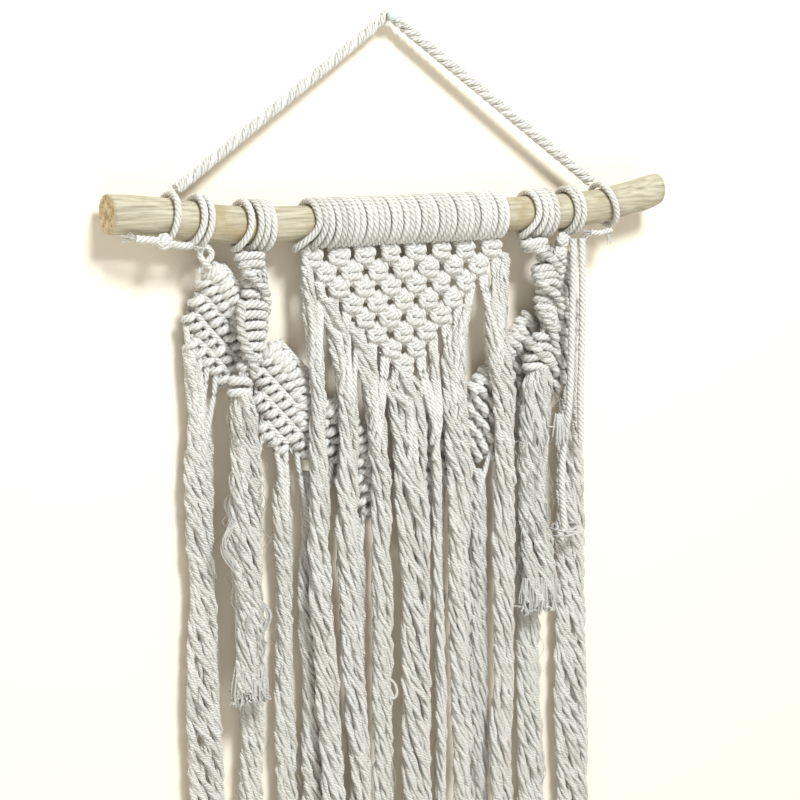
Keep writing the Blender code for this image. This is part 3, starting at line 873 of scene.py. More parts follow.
def laid_cord_tree():
    """Turns lines into laid cord: a section with one lobe for each ply, which turns as it runs.

    It leaves an attribute named lay on the surface: cosine and sine of the place round the cord,
    and the distance along it in metres.
    """
    tree, given, output = new_tree(
        "laid_cord",
        (
            ("Sides", "NodeSocketInt"),
            ("Plies", "NodeSocketFloat"),
            ("Ply depth", "NodeSocketFloat"),
            ("Lay length", "NodeSocketFloat"),
            ("Material", "NodeSocketMaterial"),
        ),
    )
    line = add(tree, "GeometryNodeMeshToCurve", {"Mesh": given.outputs["Geometry"]})
    place = add(tree, "GeometryNodeSplineParameter")
    kept = add(tree, "GeometryNodeCaptureAttribute")
    kept.capture_items.new("FLOAT", "along")
    fill(tree, kept, {"Geometry": line.outputs[0], "along": place.outputs["Length"]})
    turns = add(
        tree,
        "ShaderNodeMath",
        {0: kept.outputs["along"], 1: given.outputs["Lay length"]},
        operation="DIVIDE",
    )
    tilt = add(tree, "ShaderNodeMath", {0: turns.outputs[0], 1: -2 * math.pi}, operation="MULTIPLY")
    tilted = add(
        tree, "GeometryNodeSetCurveTilt", {"Curve": kept.outputs["Geometry"], "Tilt": tilt.outputs[0]}
    )

    ring = add(
        tree, "GeometryNodeCurvePrimitiveCircle", {"Resolution": given.outputs["Sides"], "Radius": 1.0}
    )
    around = add(tree, "GeometryNodeSplineParameter")
    kept_ring = add(tree, "GeometryNodeCaptureAttribute")
    kept_ring.capture_items.new("FLOAT", "around")
    fill(tree, kept_ring, {"Geometry": ring.outputs[0], "around": around.outputs["Factor"]})
    angle = add(
        tree, "ShaderNodeMath", {0: kept_ring.outputs["around"], 1: 2 * math.pi}, operation="MULTIPLY"
    )
    half_ply = add(tree, "ShaderNodeMath", {0: given.outputs["Plies"], 1: 0.5}, operation="MULTIPLY")
    wave = add(
        tree, "ShaderNodeMath", {0: angle.outputs[0], 1: half_ply.outputs[0]}, operation="MULTIPLY"
    )
    lobe = add(tree, "ShaderNodeMath", {0: wave.outputs[0]}, operation="COSINE")
    hump = add(tree, "ShaderNodeMath", {0: lobe.outputs[0]}, operation="ABSOLUTE")
    dip = add(tree, "ShaderNodeMath", {0: 1.0, 1: hump.outputs[0]}, operation="SUBTRACT")
    depth = add(
        tree, "ShaderNodeMath", {0: dip.outputs[0], 1: given.outputs["Ply depth"]}, operation="MULTIPLY"
    )
    reach = add(tree, "ShaderNodeMath", {0: 1.0, 1: depth.outputs[0]}, operation="SUBTRACT")
    spot = add(tree, "GeometryNodeInputPosition")
    lobed = add(
        tree, "ShaderNodeVectorMath", {0: spot.outputs[0], "Scale": reach.outputs[0]}, operation="SCALE"
    )
    section = add(
        tree,
        "GeometryNodeSetPosition",
        {"Geometry": kept_ring.outputs["Geometry"], "Position": lobed.outputs[0]},
    )

    thick = add(tree, "GeometryNodeInputNamedAttribute", {"Name": "thick"}, data_type="FLOAT")
    swept = add(
        tree,
        "GeometryNodeCurveToMesh",
        {
            "Curve": tilted.outputs[0],
            "Profile Curve": section.outputs[0],
            "Scale": thick.outputs["Attribute"],
            "Fill Caps": True,
        },
    )
    cosine = add(tree, "ShaderNodeMath", {0: angle.outputs[0]}, operation="COSINE")
    sine = add(tree, "ShaderNodeMath", {0: angle.outputs[0]}, operation="SINE")
    lay = add(
        tree, "ShaderNodeCombineXYZ", {0: cosine.outputs[0], 1: sine.outputs[0], 2: kept.outputs["along"]}
    )
    stored = add(
        tree,
        "GeometryNodeStoreNamedAttribute",
        {"Geometry": swept.outputs[0], "Name": "lay", "Value": lay.outputs[0]},
        data_type="FLOAT_VECTOR",
        domain="POINT",
    )
    close_tree(tree, stored.outputs[0], given, output)
    return tree


def sow(tree, given, output, piece, points, rotation, noise_scale, reach):
    """Sets copies of a piece on points, each of its own size and pulled about by a slow noise."""
    copied = add(tree, "GeometryNodeObjectInfo", {"Object": given.outputs[piece]})
    change = given.outputs["Size change"]
    least = add(tree, "ShaderNodeMath", {0: 1.0, 1: change}, operation="SUBTRACT")
    most = add(tree, "ShaderNodeMath", {0: 1.0, 1: change}, operation="ADD")
    size = add(
        tree,
        "FunctionNodeRandomValue",
        {2: least.outputs[0], 3: most.outputs[0], "Seed": given.outputs["Seed"]},
        data_type="FLOAT",
    )
    placed = add(
        tree,
        "GeometryNodeInstanceOnPoints",
        {
            "Points": points.outputs[0],
            "Instance": copied.outputs["Geometry"],
            "Rotation": rotation.outputs[0],
            "Scale": size.outputs[1],
        },
    )
    real = add(tree, "GeometryNodeRealizeInstances", {"Geometry": placed.outputs[0]})
    uneven = add(tree, "ShaderNodeTexNoise", {"Scale": noise_scale, "Detail": 1.0})
    centred = add(
        tree,
        "ShaderNodeVectorMath",
        {0: uneven.outputs["Color"], 1: (0.5, 0.5, 0.5)},
        operation="SUBTRACT",
    )
    offset = add(tree, "ShaderNodeVectorMath", {0: centred.outputs[0], "Scale": reach}, operation="SCALE")
    moved = add(
        tree, "GeometryNodeSetPosition", {"Geometry": real.outputs[0], "Offset": offset.outputs[0]}
    )
    close_tree(tree, moved.outputs[0], given, output)
    return tree


def knots_tree():
    """Sets one knot on every point, each a little turned and a little larger or smaller."""
    tree, given, output = new_tree(
        "knots_on_points",
        (
            ("Knot", "NodeSocketObject"),
            ("Lean", "NodeSocketFloat"),
            ("Size change", "NodeSocketFloat"),
            ("Seed", "NodeSocketInt"),
            ("Material", "NodeSocketMaterial"),
        ),
    )
    lean = given.outputs["Lean"]
    back = add(tree, "ShaderNodeMath", {0: lean, 1: -1.0}, operation="MULTIPLY")
    low = add(tree, "ShaderNodeCombineXYZ", {axis: back.outputs[0] for axis in range(3)})
    high = add(tree, "ShaderNodeCombineXYZ", {axis: lean for axis in range(3)})
    turn = add(
        tree,
        "FunctionNodeRandomValue",
        {0: low.outputs[0], 1: high.outputs[0], "Seed": given.outputs["Seed"]},
        data_type="FLOAT_VECTOR",
    )
    euler = add(tree, "FunctionNodeEulerToRotation", {"Euler": turn.outputs[0]})
    points = add(tree, "GeometryNodeMeshToPoints", {"Mesh": given.outputs["Geometry"]})
    return sow(tree, given, output, "Knot", points, euler, noise_scale=120.0, reach=0.003)


def hitches_tree():
    """Sets a hitch at even steps along every line, square to the line, as diagonal rows have."""
    tree, given, output = new_tree(
        "hitches_along_rows",
        (
            ("Hitch", "NodeSocketObject"),
            ("Spacing", "NodeSocketFloat"),
            ("Size change", "NodeSocketFloat"),
            ("Seed", "NodeSocketInt"),
            ("Material", "NodeSocketMaterial"),
        ),
    )
    line = add(tree, "GeometryNodeMeshToCurve", {"Mesh": given.outputs["Geometry"]})
    steps = add(
        tree,
        "GeometryNodeResampleCurve",
        {"Curve": line.outputs[0], "Length": given.outputs["Spacing"]},
        mode="LENGTH",
    )
    tangent = add(tree, "GeometryNodeInputTangent")
    facing = add(
        tree,
        "FunctionNodeAlignRotationToVector",
        {"Vector": tangent.outputs[0]},
        axis="X",
        pivot_axis="Y",
    )
    return sow(tree, given, output, "Hitch", steps, facing, noise_scale=110.0, reach=0.0026)


def tree_named(name, maker):
    return bpy.data.node_groups.get(name) or maker()


def grown(name, mesh, tree, inputs):
    """An object with the plain mesh that the tree makes from the given one."""
    seedling = bpy.data.objects.new(f"{name}_lines", mesh)
    bpy.context.scene.collection.objects.link(seedling)
    modifier = seedling.modifiers.new("grow", "NODES")
    modifier.node_group = tree
    for item in tree.interface.items_tree:
        if item.in_out == "INPUT" and item.name in inputs:
            modifier[item.identifier] = inputs[item.name]
    graph = bpy.context.evaluated_depsgraph_get()
    plain = bpy.data.meshes.new_from_object(seedling.evaluated_get(graph))
    plain.name = name
    bpy.data.objects.remove(seedling, do_unlink=True)
    made = bpy.data.objects.new(name, plain)
    bpy.context.scene.collection.objects.link(made)
    return made


def corded(name, yarn, finish, sides=12, plies=4.0, depth=0.26, lay=12.0):
    """Lays the yarn's lines as cord."""
    inputs = {
        "Sides": sides,
        "Plies": plies,
        "Ply depth": depth,
        "Lay length": lay * MM,
        "Material": finish,
    }
    return grown(name, yarn.mesh(name), tree_named("laid_cord", laid_cord_tree), inputs)


def stranded(name, yarn, sides):
    """Lays the yarn's lines as opened strands, which are round and hardly turn."""
    return corded(name, yarn, strand_material(), sides, plies=2.0, depth=0.0, lay=60.0)


def knotted(name, yarn, sides, lay):
    """Lays the yarn's lines as cord drawn tight in a knot, which flattens its plies."""
    return corded(name, yarn, knotted_material(), sides, depth=0.17, lay=lay)


def fitted(piece, *nodes):
    """Makes a piece ride with the hanging and stand for its CAD nodes, which it hides."""
    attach(piece, "root")
    if nodes:
        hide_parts(*nodes)
    return piece


# ---- Materials ---------------------------------------------------------------------------------


def shader_of(name):
    material = bpy.data.materials.new(name)
    material.use_nodes = True
    return material, material.node_tree, material.node_tree.nodes["Principled BSDF"]


def cotton(name, light, dark, dash_length, painted_groove_shade, fibre_bump):
    """Natural combed cotton, spun and laid: matt and pale, with grooves between its yarns.

    A laid cord has its grooves in its form, and a dash length of nought. An opened strand is drawn
    with grooves that wind round it, one for each dash length that it falls. Both carry painted shade:
    the colour of a groove is painted darker than the crown beside it, by painted_groove_shade.
    """
    material, tree, shader = shader_of(name)
    lay = add(tree, "ShaderNodeAttribute", attribute_name="lay")
    parts = add(tree, "ShaderNodeSeparateXYZ", {0: lay.outputs["Vector"]})
    own = add(tree, "ShaderNodeAttribute", attribute_name="tone")
    spot = add(tree, "ShaderNodeTexCoord")
    angle = add(tree, "ShaderNodeMath", {0: parts.outputs[1], 1: parts.outputs[0]}, operation="ARCTAN2")
    # Two turns of the wave make four grooves round the cord, each painted darker as painted shade.
    waves = add(tree, "ShaderNodeMath", {0: angle.outputs[0], 1: 2.0}, operation="MULTIPLY")
    rate = math.pi / (dash_length * MM) if dash_length else 0.0
    wobble = add(
        tree, "ShaderNodeTexNoise", {"Vector": spot.outputs["Object"], "Scale": 160.0, "Detail": 1.0}
    )
    shifted = add(
        tree,
        "ShaderNodeMath",
        {0: parts.outputs[2], 1: rate, 2: waves.outputs[0]},
        operation="MULTIPLY_ADD",
    )
    loose = 5.0 if dash_length else 0.6
    phase = add(
        tree,
        "ShaderNodeMath",
        {0: wobble.outputs[0], 1: loose, 2: shifted.outputs[0]},
        operation="MULTIPLY_ADD",
    )
    swing = add(tree, "ShaderNodeMath", {0: phase.outputs[0]}, operation="COSINE")
    # Crown is one on a ply's crest and nought in a groove; it shapes the painted groove shade and the
    # relief.
    crown = add(tree, "ShaderNodeMath", {0: swing.outputs[0]}, operation="ABSOLUTE")
    # Fibres run along the strand and are drawn about 0.5 mm wide and 6 mm long so that they show.
    stretched = add(
        tree,
        "ShaderNodeVectorMath",
        {0: lay.outputs["Vector"], 1: (2.2, 2.2, 160.0)},
        operation="MULTIPLY",
    )
    moved = add(
        tree,
        "ShaderNodeVectorMath",
        {0: stretched.outputs[0], 1: spot.outputs["Object"]},
        operation="ADD",
    )
    fibres = add(
        tree,
        "ShaderNodeTexNoise",
        {"Vector": moved.outputs[0], "Scale": 1.8, "Detail": 3.0, "Roughness": 0.65},
    )
    # Loose fuzz in tufts about 1 mm across, kept as bright on average as a cord whose grooves carry deep
    # painted shade.
    fuzz_share = 0.66
    fibre_share = 0.5
    own_share = 0.22
    level = 0.64 * (0.42 - painted_groove_shade) - 0.5 * fuzz_share
    fuzz = add(
        tree,
        "ShaderNodeTexNoise",
        {"Vector": spot.outputs["Object"], "Scale": 900.0, "Detail": 2.0, "Roughness": 0.6},
    )
    fuzzed = add(
        tree, "ShaderNodeMath", {0: fuzz.outputs[0], 1: fuzz_share, 2: level}, operation="MULTIPLY_ADD"
    )
    # Painted shade: the colour is darkened in the grooves between plies.
    with_painted_groove_shade = add(
        tree,
        "ShaderNodeMath",
        {0: crown.outputs[0], 1: painted_groove_shade, 2: fuzzed.outputs[0]},
        operation="MULTIPLY_ADD",
    )
    streaked = add(
        tree,
        "ShaderNodeMath",
        {0: fibres.outputs[0], 1: fibre_share, 2: with_painted_groove_shade.outputs[0]},
        operation="MULTIPLY_ADD",
    )
    toned = add(
        tree,
        "ShaderNodeMath",
        {0: own.outputs["Fac"], 1: own_share, 2: streaked.outputs[0]},
        operation="MULTIPLY_ADD",
    )
    colours = add(tree, "ShaderNodeValToRGB", {"Fac": toned.outputs[0]})
    set_stops(colours, (0.24, linear(dark)), (0.78, light))
    roughened = add(
        tree,
        "ShaderNodeMath",
        {0: fuzz.outputs[0], 1: 0.9, 2: crown.outputs[0]},
        operation="MULTIPLY_ADD",
    )
    relief = add(
        tree,
        "ShaderNodeMath",
        {0: fibres.outputs[0], 1: 0.7, 2: roughened.outputs[0]},
        operation="MULTIPLY_ADD",
    )
    bump = add(
        tree,
        "ShaderNodeBump",
        {"Height": relief.outputs[0], "Strength": fibre_bump, "Distance": 0.45 * MM},
    )
    fill(tree, shader, {"Base Color": colours.outputs[0], "Normal": bump.outputs[0], "Roughness": 0.92})
    fill(tree, shader, {"Specular IOR Level": 0.2, "Sheen Weight": 0.2, "Sheen Roughness": 0.5})
    return material


def peeled_wood():
    """A branch with its bark peeled off: pale, dry sapwood with grey scars and darker grain."""
    material, tree, shader = shader_of("peeled_branch_wood")
    spot = add(tree, "ShaderNodeTexCoord")
    # The grain runs along the branch: lines about 0.8 mm apart and 28 mm long.
    along = add(
        tree, "ShaderNodeMapping", {"Vector": spot.outputs["Object"], "Scale": (36.0, 640.0, 640.0)}
    )
    grain = add(
        tree,
        "ShaderNodeTexNoise",
        {"Vector": along.outputs[0], "Scale": 1.0, "Detail": 5.0, "Roughness": 0.6},
    )
    patches = add(
        tree,
        "ShaderNodeTexNoise",
        {"Vector": spot.outputs["Object"], "Scale": 28.0, "Detail": 4.0, "Roughness": 0.65},
    )
    ramp = add(tree, "ShaderNodeValToRGB", {"Fac": grain.outputs[0]})
    set_stops(ramp, (0.32, linear("#928A74")), (0.62, linear("#C5BEA8")))
    scars = add(tree, "ShaderNodeValToRGB", {"Fac": patches.outputs[0]})
    set_stops(scars, (0.56, (0.0, 0.0, 0.0, 1.0)), (0.72, (1.0, 1.0, 1.0, 1.0)))
    # A colour mix takes its two colours on inputs 6 and 7 and gives the result on output 2.
    scarred = add(
        tree,
        "ShaderNodeMix",
        {"Factor": scars.outputs[0], 6: ramp.outputs[0], 7: linear("#A1906A")},
        data_type="RGBA",
    )
    end = add(tree, "ShaderNodeAttribute", attribute_name="cut")
    rings = add(
        tree,
        "ShaderNodeTexNoise",
        {"Vector": spot.outputs["Object"], "Scale": 230.0, "Detail": 6.0, "Roughness": 0.75},
    )
    ring_ramp = add(tree, "ShaderNodeValToRGB", {"Fac": rings.outputs[0]})
    set_stops(ring_ramp, (0.38, linear("#997C50")), (0.6, linear("#DDCDAB")))
    faced = add(
        tree,
        "ShaderNodeMix",
        {"Factor": end.outputs["Fac"], 6: scarred.outputs[2], 7: ring_ramp.outputs[0]},
        data_type="RGBA",
    )
    bump = add(
        tree, "ShaderNodeBump", {"Height": grain.outputs[0], "Strength": 0.5, "Distance": 0.4 * MM}
    )
    fill(tree, shader, {"Base Color": faced.outputs[2], "Normal": bump.outputs[0], "Roughness": 0.62})
    return material


def nail_paint():
    """Pale blue-white enamel on a steel nail, rubbed a little on the dome."""
    material, tree, shader = shader_of("enamelled_steel_nail")
    spot = add(tree, "ShaderNodeTexCoord")
    wear = add(
        tree, "ShaderNodeTexNoise", {"Vector": spot.outputs["Object"], "Scale": 700.0, "Detail": 2.0}
    )
    ramp = add(tree, "ShaderNodeValToRGB", {"Fac": wear.outputs[0]})
    set_stops(ramp, (0.3, linear("#BFD0D6")), (0.7, linear("#E4EEF1")))
    fill(tree, shader, {"Base Color": ramp.outputs[0], "Roughness": 0.3})
    return material


def painted_wall():
    """Matt warm white wall paint, which gives the shadows their warmth.

    From behind it is clear, so that the back of the hanging can be looked at.
    """
    material, tree, shader = shader_of("warm_white_wall_paint")
    fill(tree, shader, {"Base Color": linear("#F8EFDF"), "Roughness": 0.95})
    side = add(tree, "ShaderNodeNewGeometry")
    clear = add(tree, "ShaderNodeBsdfTransparent")
    chosen = add(
        tree,
        "ShaderNodeMixShader",
        {0: side.outputs["Backfacing"], 1: shader.outputs[0], 2: clear.outputs[0]},
    )
    fill(tree, tree.nodes["Material Output"], {"Surface": chosen.outputs[0]})
    return material


def pale_floor():
    """Matt off-white floor paint."""
    material, tree, shader = shader_of("pale_floor_paint")
    fill(tree, shader, {"Base Color": linear("#ECEAE6"), "Roughness": 0.9})
    return material


# ---- Lines of cord -----------------------------------------------------------------------------


def hanging_bundle(yarn, rows, y, depth, rng, hand):
    """Cords that hang side by side round one axis, each opened into three plies.

    Rows hold height, place along the branch and width. The bundle turns slowly as it falls, and
    each cord's plies turn faster, both in the same direction.
    """
    line = smooth([(along, y, height, width) for height, along, width in rows], BUNDLE_STEP)
    line = np.vstack([line[0] + (0.0, 1.5, 4.0, 0.0), line])
    axis, width = line[:, :3], line[:, 3]
    run = run_of(axis)
    # A bundle starts half as wide, and has filled out 11 mm further down.
    width = width * np.clip(0.5 + run / 22.0, 0.5, 1.0)
    typical = float(np.mean(width))
    ring = max(3, round(hand.fullness * typical / hand.cord))
    start = rng.uniform(0, 2 * math.pi)
    # A ring of cords, two inside it where the bundle is wide, and five more where it is full.
    cords = [(1.0, start + 2 * math.pi * number / ring) for number in range(ring)]
    if typical > WIDE_BUNDLE:
        cords += [(0.38, start), (0.38, start + math.pi)]
    if hand.fullness > FULL_BUNDLE:
        cords += [(0.68, start + 2 * math.pi * number / 5) for number in range(5)]
    for share, angle in cords:
        turn = angle + 2 * math.pi * run / hand.bundle_lay + 0.35 * wander(rng, run, 1.0, 130.0)[:, 0]
        half = np.maximum(0.5 * width - 0.5 * hand.cord, 0.6) * share
        deep = max(0.5 * depth - 0.5 * hand.cord, 0.6) * share * np.minimum(1.0, width / 9.0)
        drift = wander(rng, run, 0.7, 90.0)
        centre = axis.copy()
        centre[:, 0] += half * np.cos(turn) + drift[:, 0]
        centre[:, 1] += deep * np.sin(turn) + 0.5 * drift[:, 1]
        open_lay = hand.ply_lay * rng.uniform(0.75, 1.4)
        first = rng.uniform(0, 2 * math.pi)
        for ply in range(PLIES_IN_A_CORD):
            spin = first + 2 * math.pi * (ply / PLIES_IN_A_CORD + run / open_lay)
            loose = hand.ply_reach * (1.0 + 0.25 * wander(rng, run, 1.0, 60.0)[:, 0])
            own = wander(rng, run, hand.ply_drift, 45.0) + wander(rng, run, 0.42, 13.0)
            points = centre.copy()
            points[:, 0] += loose * np.cos(spin) + own[:, 0]
            points[:, 1] += loose * np.sin(spin) + own[:, 1]
            thick = hand.ply * (1.0 + 0.16 * wander(rng, run, 1.0, 19.0)[:, 0])
            yarn.lay(points, thick, rng.uniform(0, 1))


class Hand:
    """How tightly one kind of bundle is laid, in millimetres."""

    def __init__(self, settings, bundle_lay, ply_lay, fullness=1.9):
        self.cord = settings.cord_width / MM * 1.15
        self.ply = settings.ply_width / MM * 0.5
        self.ply_reach = self.ply * 0.98
        self.ply_drift = 0.35
        self.bundle_lay = bundle_lay
        self.ply_lay = ply_lay
        self.fullness = fullness


def frayed_end(yarn, centre, width, depth, length, count, rng):
    """Fine threads that splay from a cut end."""
    for _ in range(count):
        turn = rng.uniform(0, 2 * math.pi)
        reach = math.sqrt(rng.uniform(0.05, 1.0))
        out = np.array([math.cos(turn) * width, math.sin(turn) * depth, 0.0]) * 0.5 * reach
        fall = length * rng.uniform(0.15, 1.0)
        spread = rng.uniform(0.9, 1.24)
        curl = rng.normal(0.0, 1.7, 3) * (1.0, 0.6, 0.5)
        top = centre + out * 0.92 + (0.0, 0.0, 15.0)
        middle = centre + out * 1.04 - curl * 0.35 - (0.0, 0.0, 0.2 * fall)
        low = centre + out * spread + curl - (0.0, 0.0, fall)
        yarn.lay(smooth([top, middle, low], 3.0), rng.uniform(0.42, 0.75), rng.uniform(0.7, 1.0))


def bowed_threads(yarn, bow, y, spread, count, rng):
    """Frayed threads that stand off in one direction and come back."""
    for _ in range(count):
        line = []
        for along, height in bow:
            line.append((along, y, height) + rng.normal(0.0, spread, 3) * (0.8, 0.5, 1.4))
        line[0][1] += 3.0
        line[-1][1] += 3.0
        yarn.lay(smooth(line, 2.4), rng.uniform(0.3, 0.55), rng.uniform(0.8, 1.0))


def lump(yarn, centre, size, radius):
    """Three turns of cord drawn into a small overhand knot."""
    turn = 2 * math.pi * np.arange(18) / 18
    for lean, share in ((0.3, 1.0), (1.3, 0.87), (2.3, 0.93)):
        loop = np.stack(
            [
                share * size * np.cos(turn),
                share * size * 0.6 * np.sin(turn) * math.sin(lean),
                share * size * np.sin(turn) * math.cos(lean),
            ],
            axis=1,
        )
        yarn.lay(np.array(centre) + loop, radius, 0.7, True)


def flyaways(yarn, rows, y, depth, count, rng):
    """Single fibres that stand off a bundle in small bows."""
    line = smooth([(along, y, height, width) for height, along, width in rows], 6.0)
    for _ in range(count):
        place = rng.integers(1, len(line) - 5)
        start = line[place, :3]
        end = line[place + rng.integers(2, 4), :3]
        turn = rng.uniform(0, 2 * math.pi)
        side = np.array([math.cos(turn) * line[place, 3], math.sin(turn) * depth, 0.0]) * 0.5
        bow = side * rng.uniform(1.1, 1.45) + rng.normal(0.0, 0.8, 3)
        yarn.lay(
            smooth([start + side * 0.85, 0.5 * (start + end) + bow, end + side * 0.9], 2.5),
            rng.uniform(0.16, 0.28),
            rng.uniform(0, 1),
        )


# ---- Sizes and colours that a user may change ----------------------------------------------------


class MacrameSettings(bpy.types.PropertyGroup):
    cord_width: bpy.props.FloatProperty(
        name="Cord width",
        description="Width of one laid cord",
        default=0.0041,
        min=0.002,
        max=0.008,
        precision=4,
        subtype="DISTANCE",
        unit="LENGTH",
    )
    ply_width: bpy.props.FloatProperty(
        name="Ply width",
        description="Width of one ply in an opened cord",
        default=0.0026,
        min=0.001,
        max=0.004,
        precision=4,
        subtype="DISTANCE",
        unit="LENGTH",
    )
    lay_length: bpy.props.FloatProperty(
        name="Lay length",
        description="Length in which a laid cord's plies go once round it",
        default=0.0122,
        min=0.004,
        max=0.03,
        precision=4,
        subtype="DISTANCE",
        unit="LENGTH",
    )
    cotton_light: bpy.props.FloatVectorProperty(
        name="Cotton, light",
        description="The palest tone of the cotton",
        default=linear("#E6E5E1")[:3],
        min=0.0,
        max=1.0,
        subtype="COLOR",
    )
    wall_distance: bpy.props.FloatProperty(
        name="Wall gap",
        description="Room between the nail's foot and the wall behind it",
        default=0.001,
        min=0.0,
        max=0.05,
        precision=4,
        subtype="DISTANCE",
        unit="LENGTH",
    )


def settings_of(context):
    return context.scene.macrame_hanging


def cord_sizes(context):
    """The radius of one cord and the length of its lay, in millimetres."""
    settings = settings_of(context)
    return 0.5 * settings.cord_width / MM, settings.lay_length / MM


COTTONS = {
    # name: colour of the painted groove shade and of the darker fibres, dash length, depth of the painted
    # groove shade, fibre bump
    "laid_cotton_cord": ("#A19D92", 0.0, 0.42, 0.6),
    "knotted_cotton_cord": ("#98948A", 0.0, 0.24, 0.9),
    "opened_cotton_strand": ("#B3AE9F", 2.3, 0.36, 0.9),
}


def cotton_of(name):
    light = (*settings_of(bpy.context).cotton_light, 1.0)
    dark, dash_length, painted_groove_shade, bump = COTTONS[name]
    return bpy.data.materials.get(name) or cotton(name, light, dark, dash_length, painted_groove_shade, bump)


def cotton_material():
    return cotton_of("laid_cotton_cord")


def knotted_material():
    return cotton_of("knotted_cotton_cord")


def strand_material():
    return cotton_of("opened_cotton_strand")


# ---- Operators -----------------------------------------------------------------------------------


class MACRAME_OT_stage(bpy.types.Operator):
    """Adds the wall, the floor, the lights and the camera"""

    bl_idname = "macrame.stage"
    bl_label = "Stage"

    def execute(self, context):
        gap = settings_of(context).wall_distance
        floor_z = -0.72
        bpy.ops.mesh.primitive_plane_add(size=1.0)
        wall = context.object
        wall.name = "wall"
        # The plane is stood up 4 m wide and 3 m high, and faces out of the wall.
        wall.data.transform(
            Matrix(
                ((4.0, 0.0, 0.0, 0.0), (0.0, 0.0, -1.0, gap), (0.0, 3.0, 0.0, 0.5), (0.0, 0.0, 0.0, 1.0))
            )
        )
        wall.data.materials.append(painted_wall())
        bpy.ops.mesh.primitive_plane_add(size=5.0, location=(0.0, 0.0, floor_z))
        floor = context.object
        floor.name = "floor"
        floor.data.materials.append(pale_floor())

        camera_data = bpy.data.cameras.new("eye")
        camera_data.sensor_width = 36.0
        camera_data.lens = CAMERA_LENS
        camera = bpy.data.objects.new("eye", camera_data)
        camera.location = Vector(CAMERA_PLACE) * MM
        camera.rotation_euler = (
            math.radians(90.0 - CAMERA_PITCH),
            0.0,
            math.radians(-CAMERA_YAW),
        )
        context.scene.collection.objects.link(camera)
        context.scene.camera = camera

        aim = Vector((0.0, 0.0, -0.25))
        for name, place, size, power, colour in (
            ("window_light", (0.05, -1.6, 1.26), 0.58, 55.0, (0.93, 0.975, 1.0)),
            ("room_light", (-1.3, -1.8, -0.1), 1.4, 4.6, (0.97, 0.98, 1.0)),
        ):
            light = bpy.data.lights.new(name, "AREA")
            light.shape = "DISK"
            light.size = size
            light.energy = power
            light.color = colour
            lamp = bpy.data.objects.new(name, light)
            lamp.location = place
            lamp.rotation_euler = (aim - Vector(place)).to_track_quat("-Z", "Y").to_euler()
            context.scene.collection.objects.link(lamp)
        world = bpy.data.worlds.new("soft_room")
        world.use_nodes = True
        background = world.node_tree.nodes["Background"]
        fill(world.node_tree, background, {"Color": (1.0, 0.88, 0.68, 1.0), "Strength": 0.25})
        context.scene.world = world
        context.scene.view_settings.view_transform = "Standard"
        return {"FINISHED"}


class MACRAME_OT_branch(bpy.types.Operator):
    """Carves the branch: not quite round, with flats, swellings and cut ends"""

    bl_idname = "macrame.branch"
    bl_label = "Branch and nail"

    def execute(self, context):
        line = smooth(DOWEL, 2.2)
        sides = 48
        work = bmesh.new()
        cut = work.verts.layers.float.new("cut")
        rings = []
        for along, height, radius in line:
            ring = []
            for side in range(sides):
                angle = 2 * math.pi * side / sides
                way = Vector((0.0, math.cos(angle), math.sin(angle)))
                slow = noise.noise(Vector((along * 0.02, way.y * 0.9, way.z * 0.9)))
                flat = noise.noise(Vector((along * 0.05 + 7.0, way.y * 2.2, way.z * 2.2)))
                fine = noise.noise(Vector((along * 0.25, way.y * 6.0, way.z * 6.0)))
                reach = radius + 0.35 * slow + 0.22 * flat + 0.08 * fine - 0.25
                point = Vector((along, DOWEL_Y, height)) + way * reach
                ring.append(work.verts.new(point * MM))
            rings.append(ring)
        for left, right in zip(rings, rings[1:]):
            for side in range(sides):
                after = (side + 1) % sides
                work.faces.new((left[side], left[after], right[after], right[side]))
        for ring, step, way in ((rings[0], line[0], -1.0), (rings[-1], line[-1], 1.0)):
            outer = ring
            for share, bulge in ((0.93, 0.25), (0.62, 0.45), (0.3, 0.5)):
                inner = []
                centre = Vector((step[0], DOWEL_Y, step[1])) * MM
                for vertex in ring:
                    place = centre.lerp(vertex.co, share)
                    rough = noise.noise(Vector((place.y, place.z, way)) * 400.0)
                    place.x += way * (bulge + 0.25 * rough) * MM
                    added = work.verts.new(place)
                    added[cut] = 1.0
                    inner.append(added)
                for number in range(sides):
                    after = (number + 1) % sides
                    work.faces.new((outer[number], outer[after], inner[after], inner[number]))
                outer = inner
            work.faces.new(outer)
        bmesh.ops.recalc_face_normals(work, faces=work.faces)
        mesh = bpy.data.meshes.new("branch")
        work.to_mesh(mesh)
        work.free()
        mesh.shade_smooth()
        branch = bpy.data.objects.new("branch", mesh)
        context.scene.collection.objects.link(branch)
        mesh.materials.append(peeled_wood())
        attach(branch, "root")
        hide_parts("dowel")

        enamel = nail_paint()
        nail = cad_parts["nail"]
        for slot in nail.material_slots:
            slot.material = enamel
        return {"FINISHED"}


def ring_line(along, reach, count, lean=0.0):
    """A closed turn of cord square to the branch at a place along it, reach from its axis."""
    slope = math.atan(dowel_at(along + 1.0, 1) - dowel_at(along, 1)) + math.radians(lean)
    turn = 2 * math.pi * np.arange(count) / count
    deep = np.cos(turn) * reach
    up = np.sin(turn) * reach
    return np.stack(
        [
            along - up * math.sin(slope),
            DOWEL_Y + deep,
            dowel_at(along, 1) + up * math.cos(slope),
        ],
        axis=1,
    )


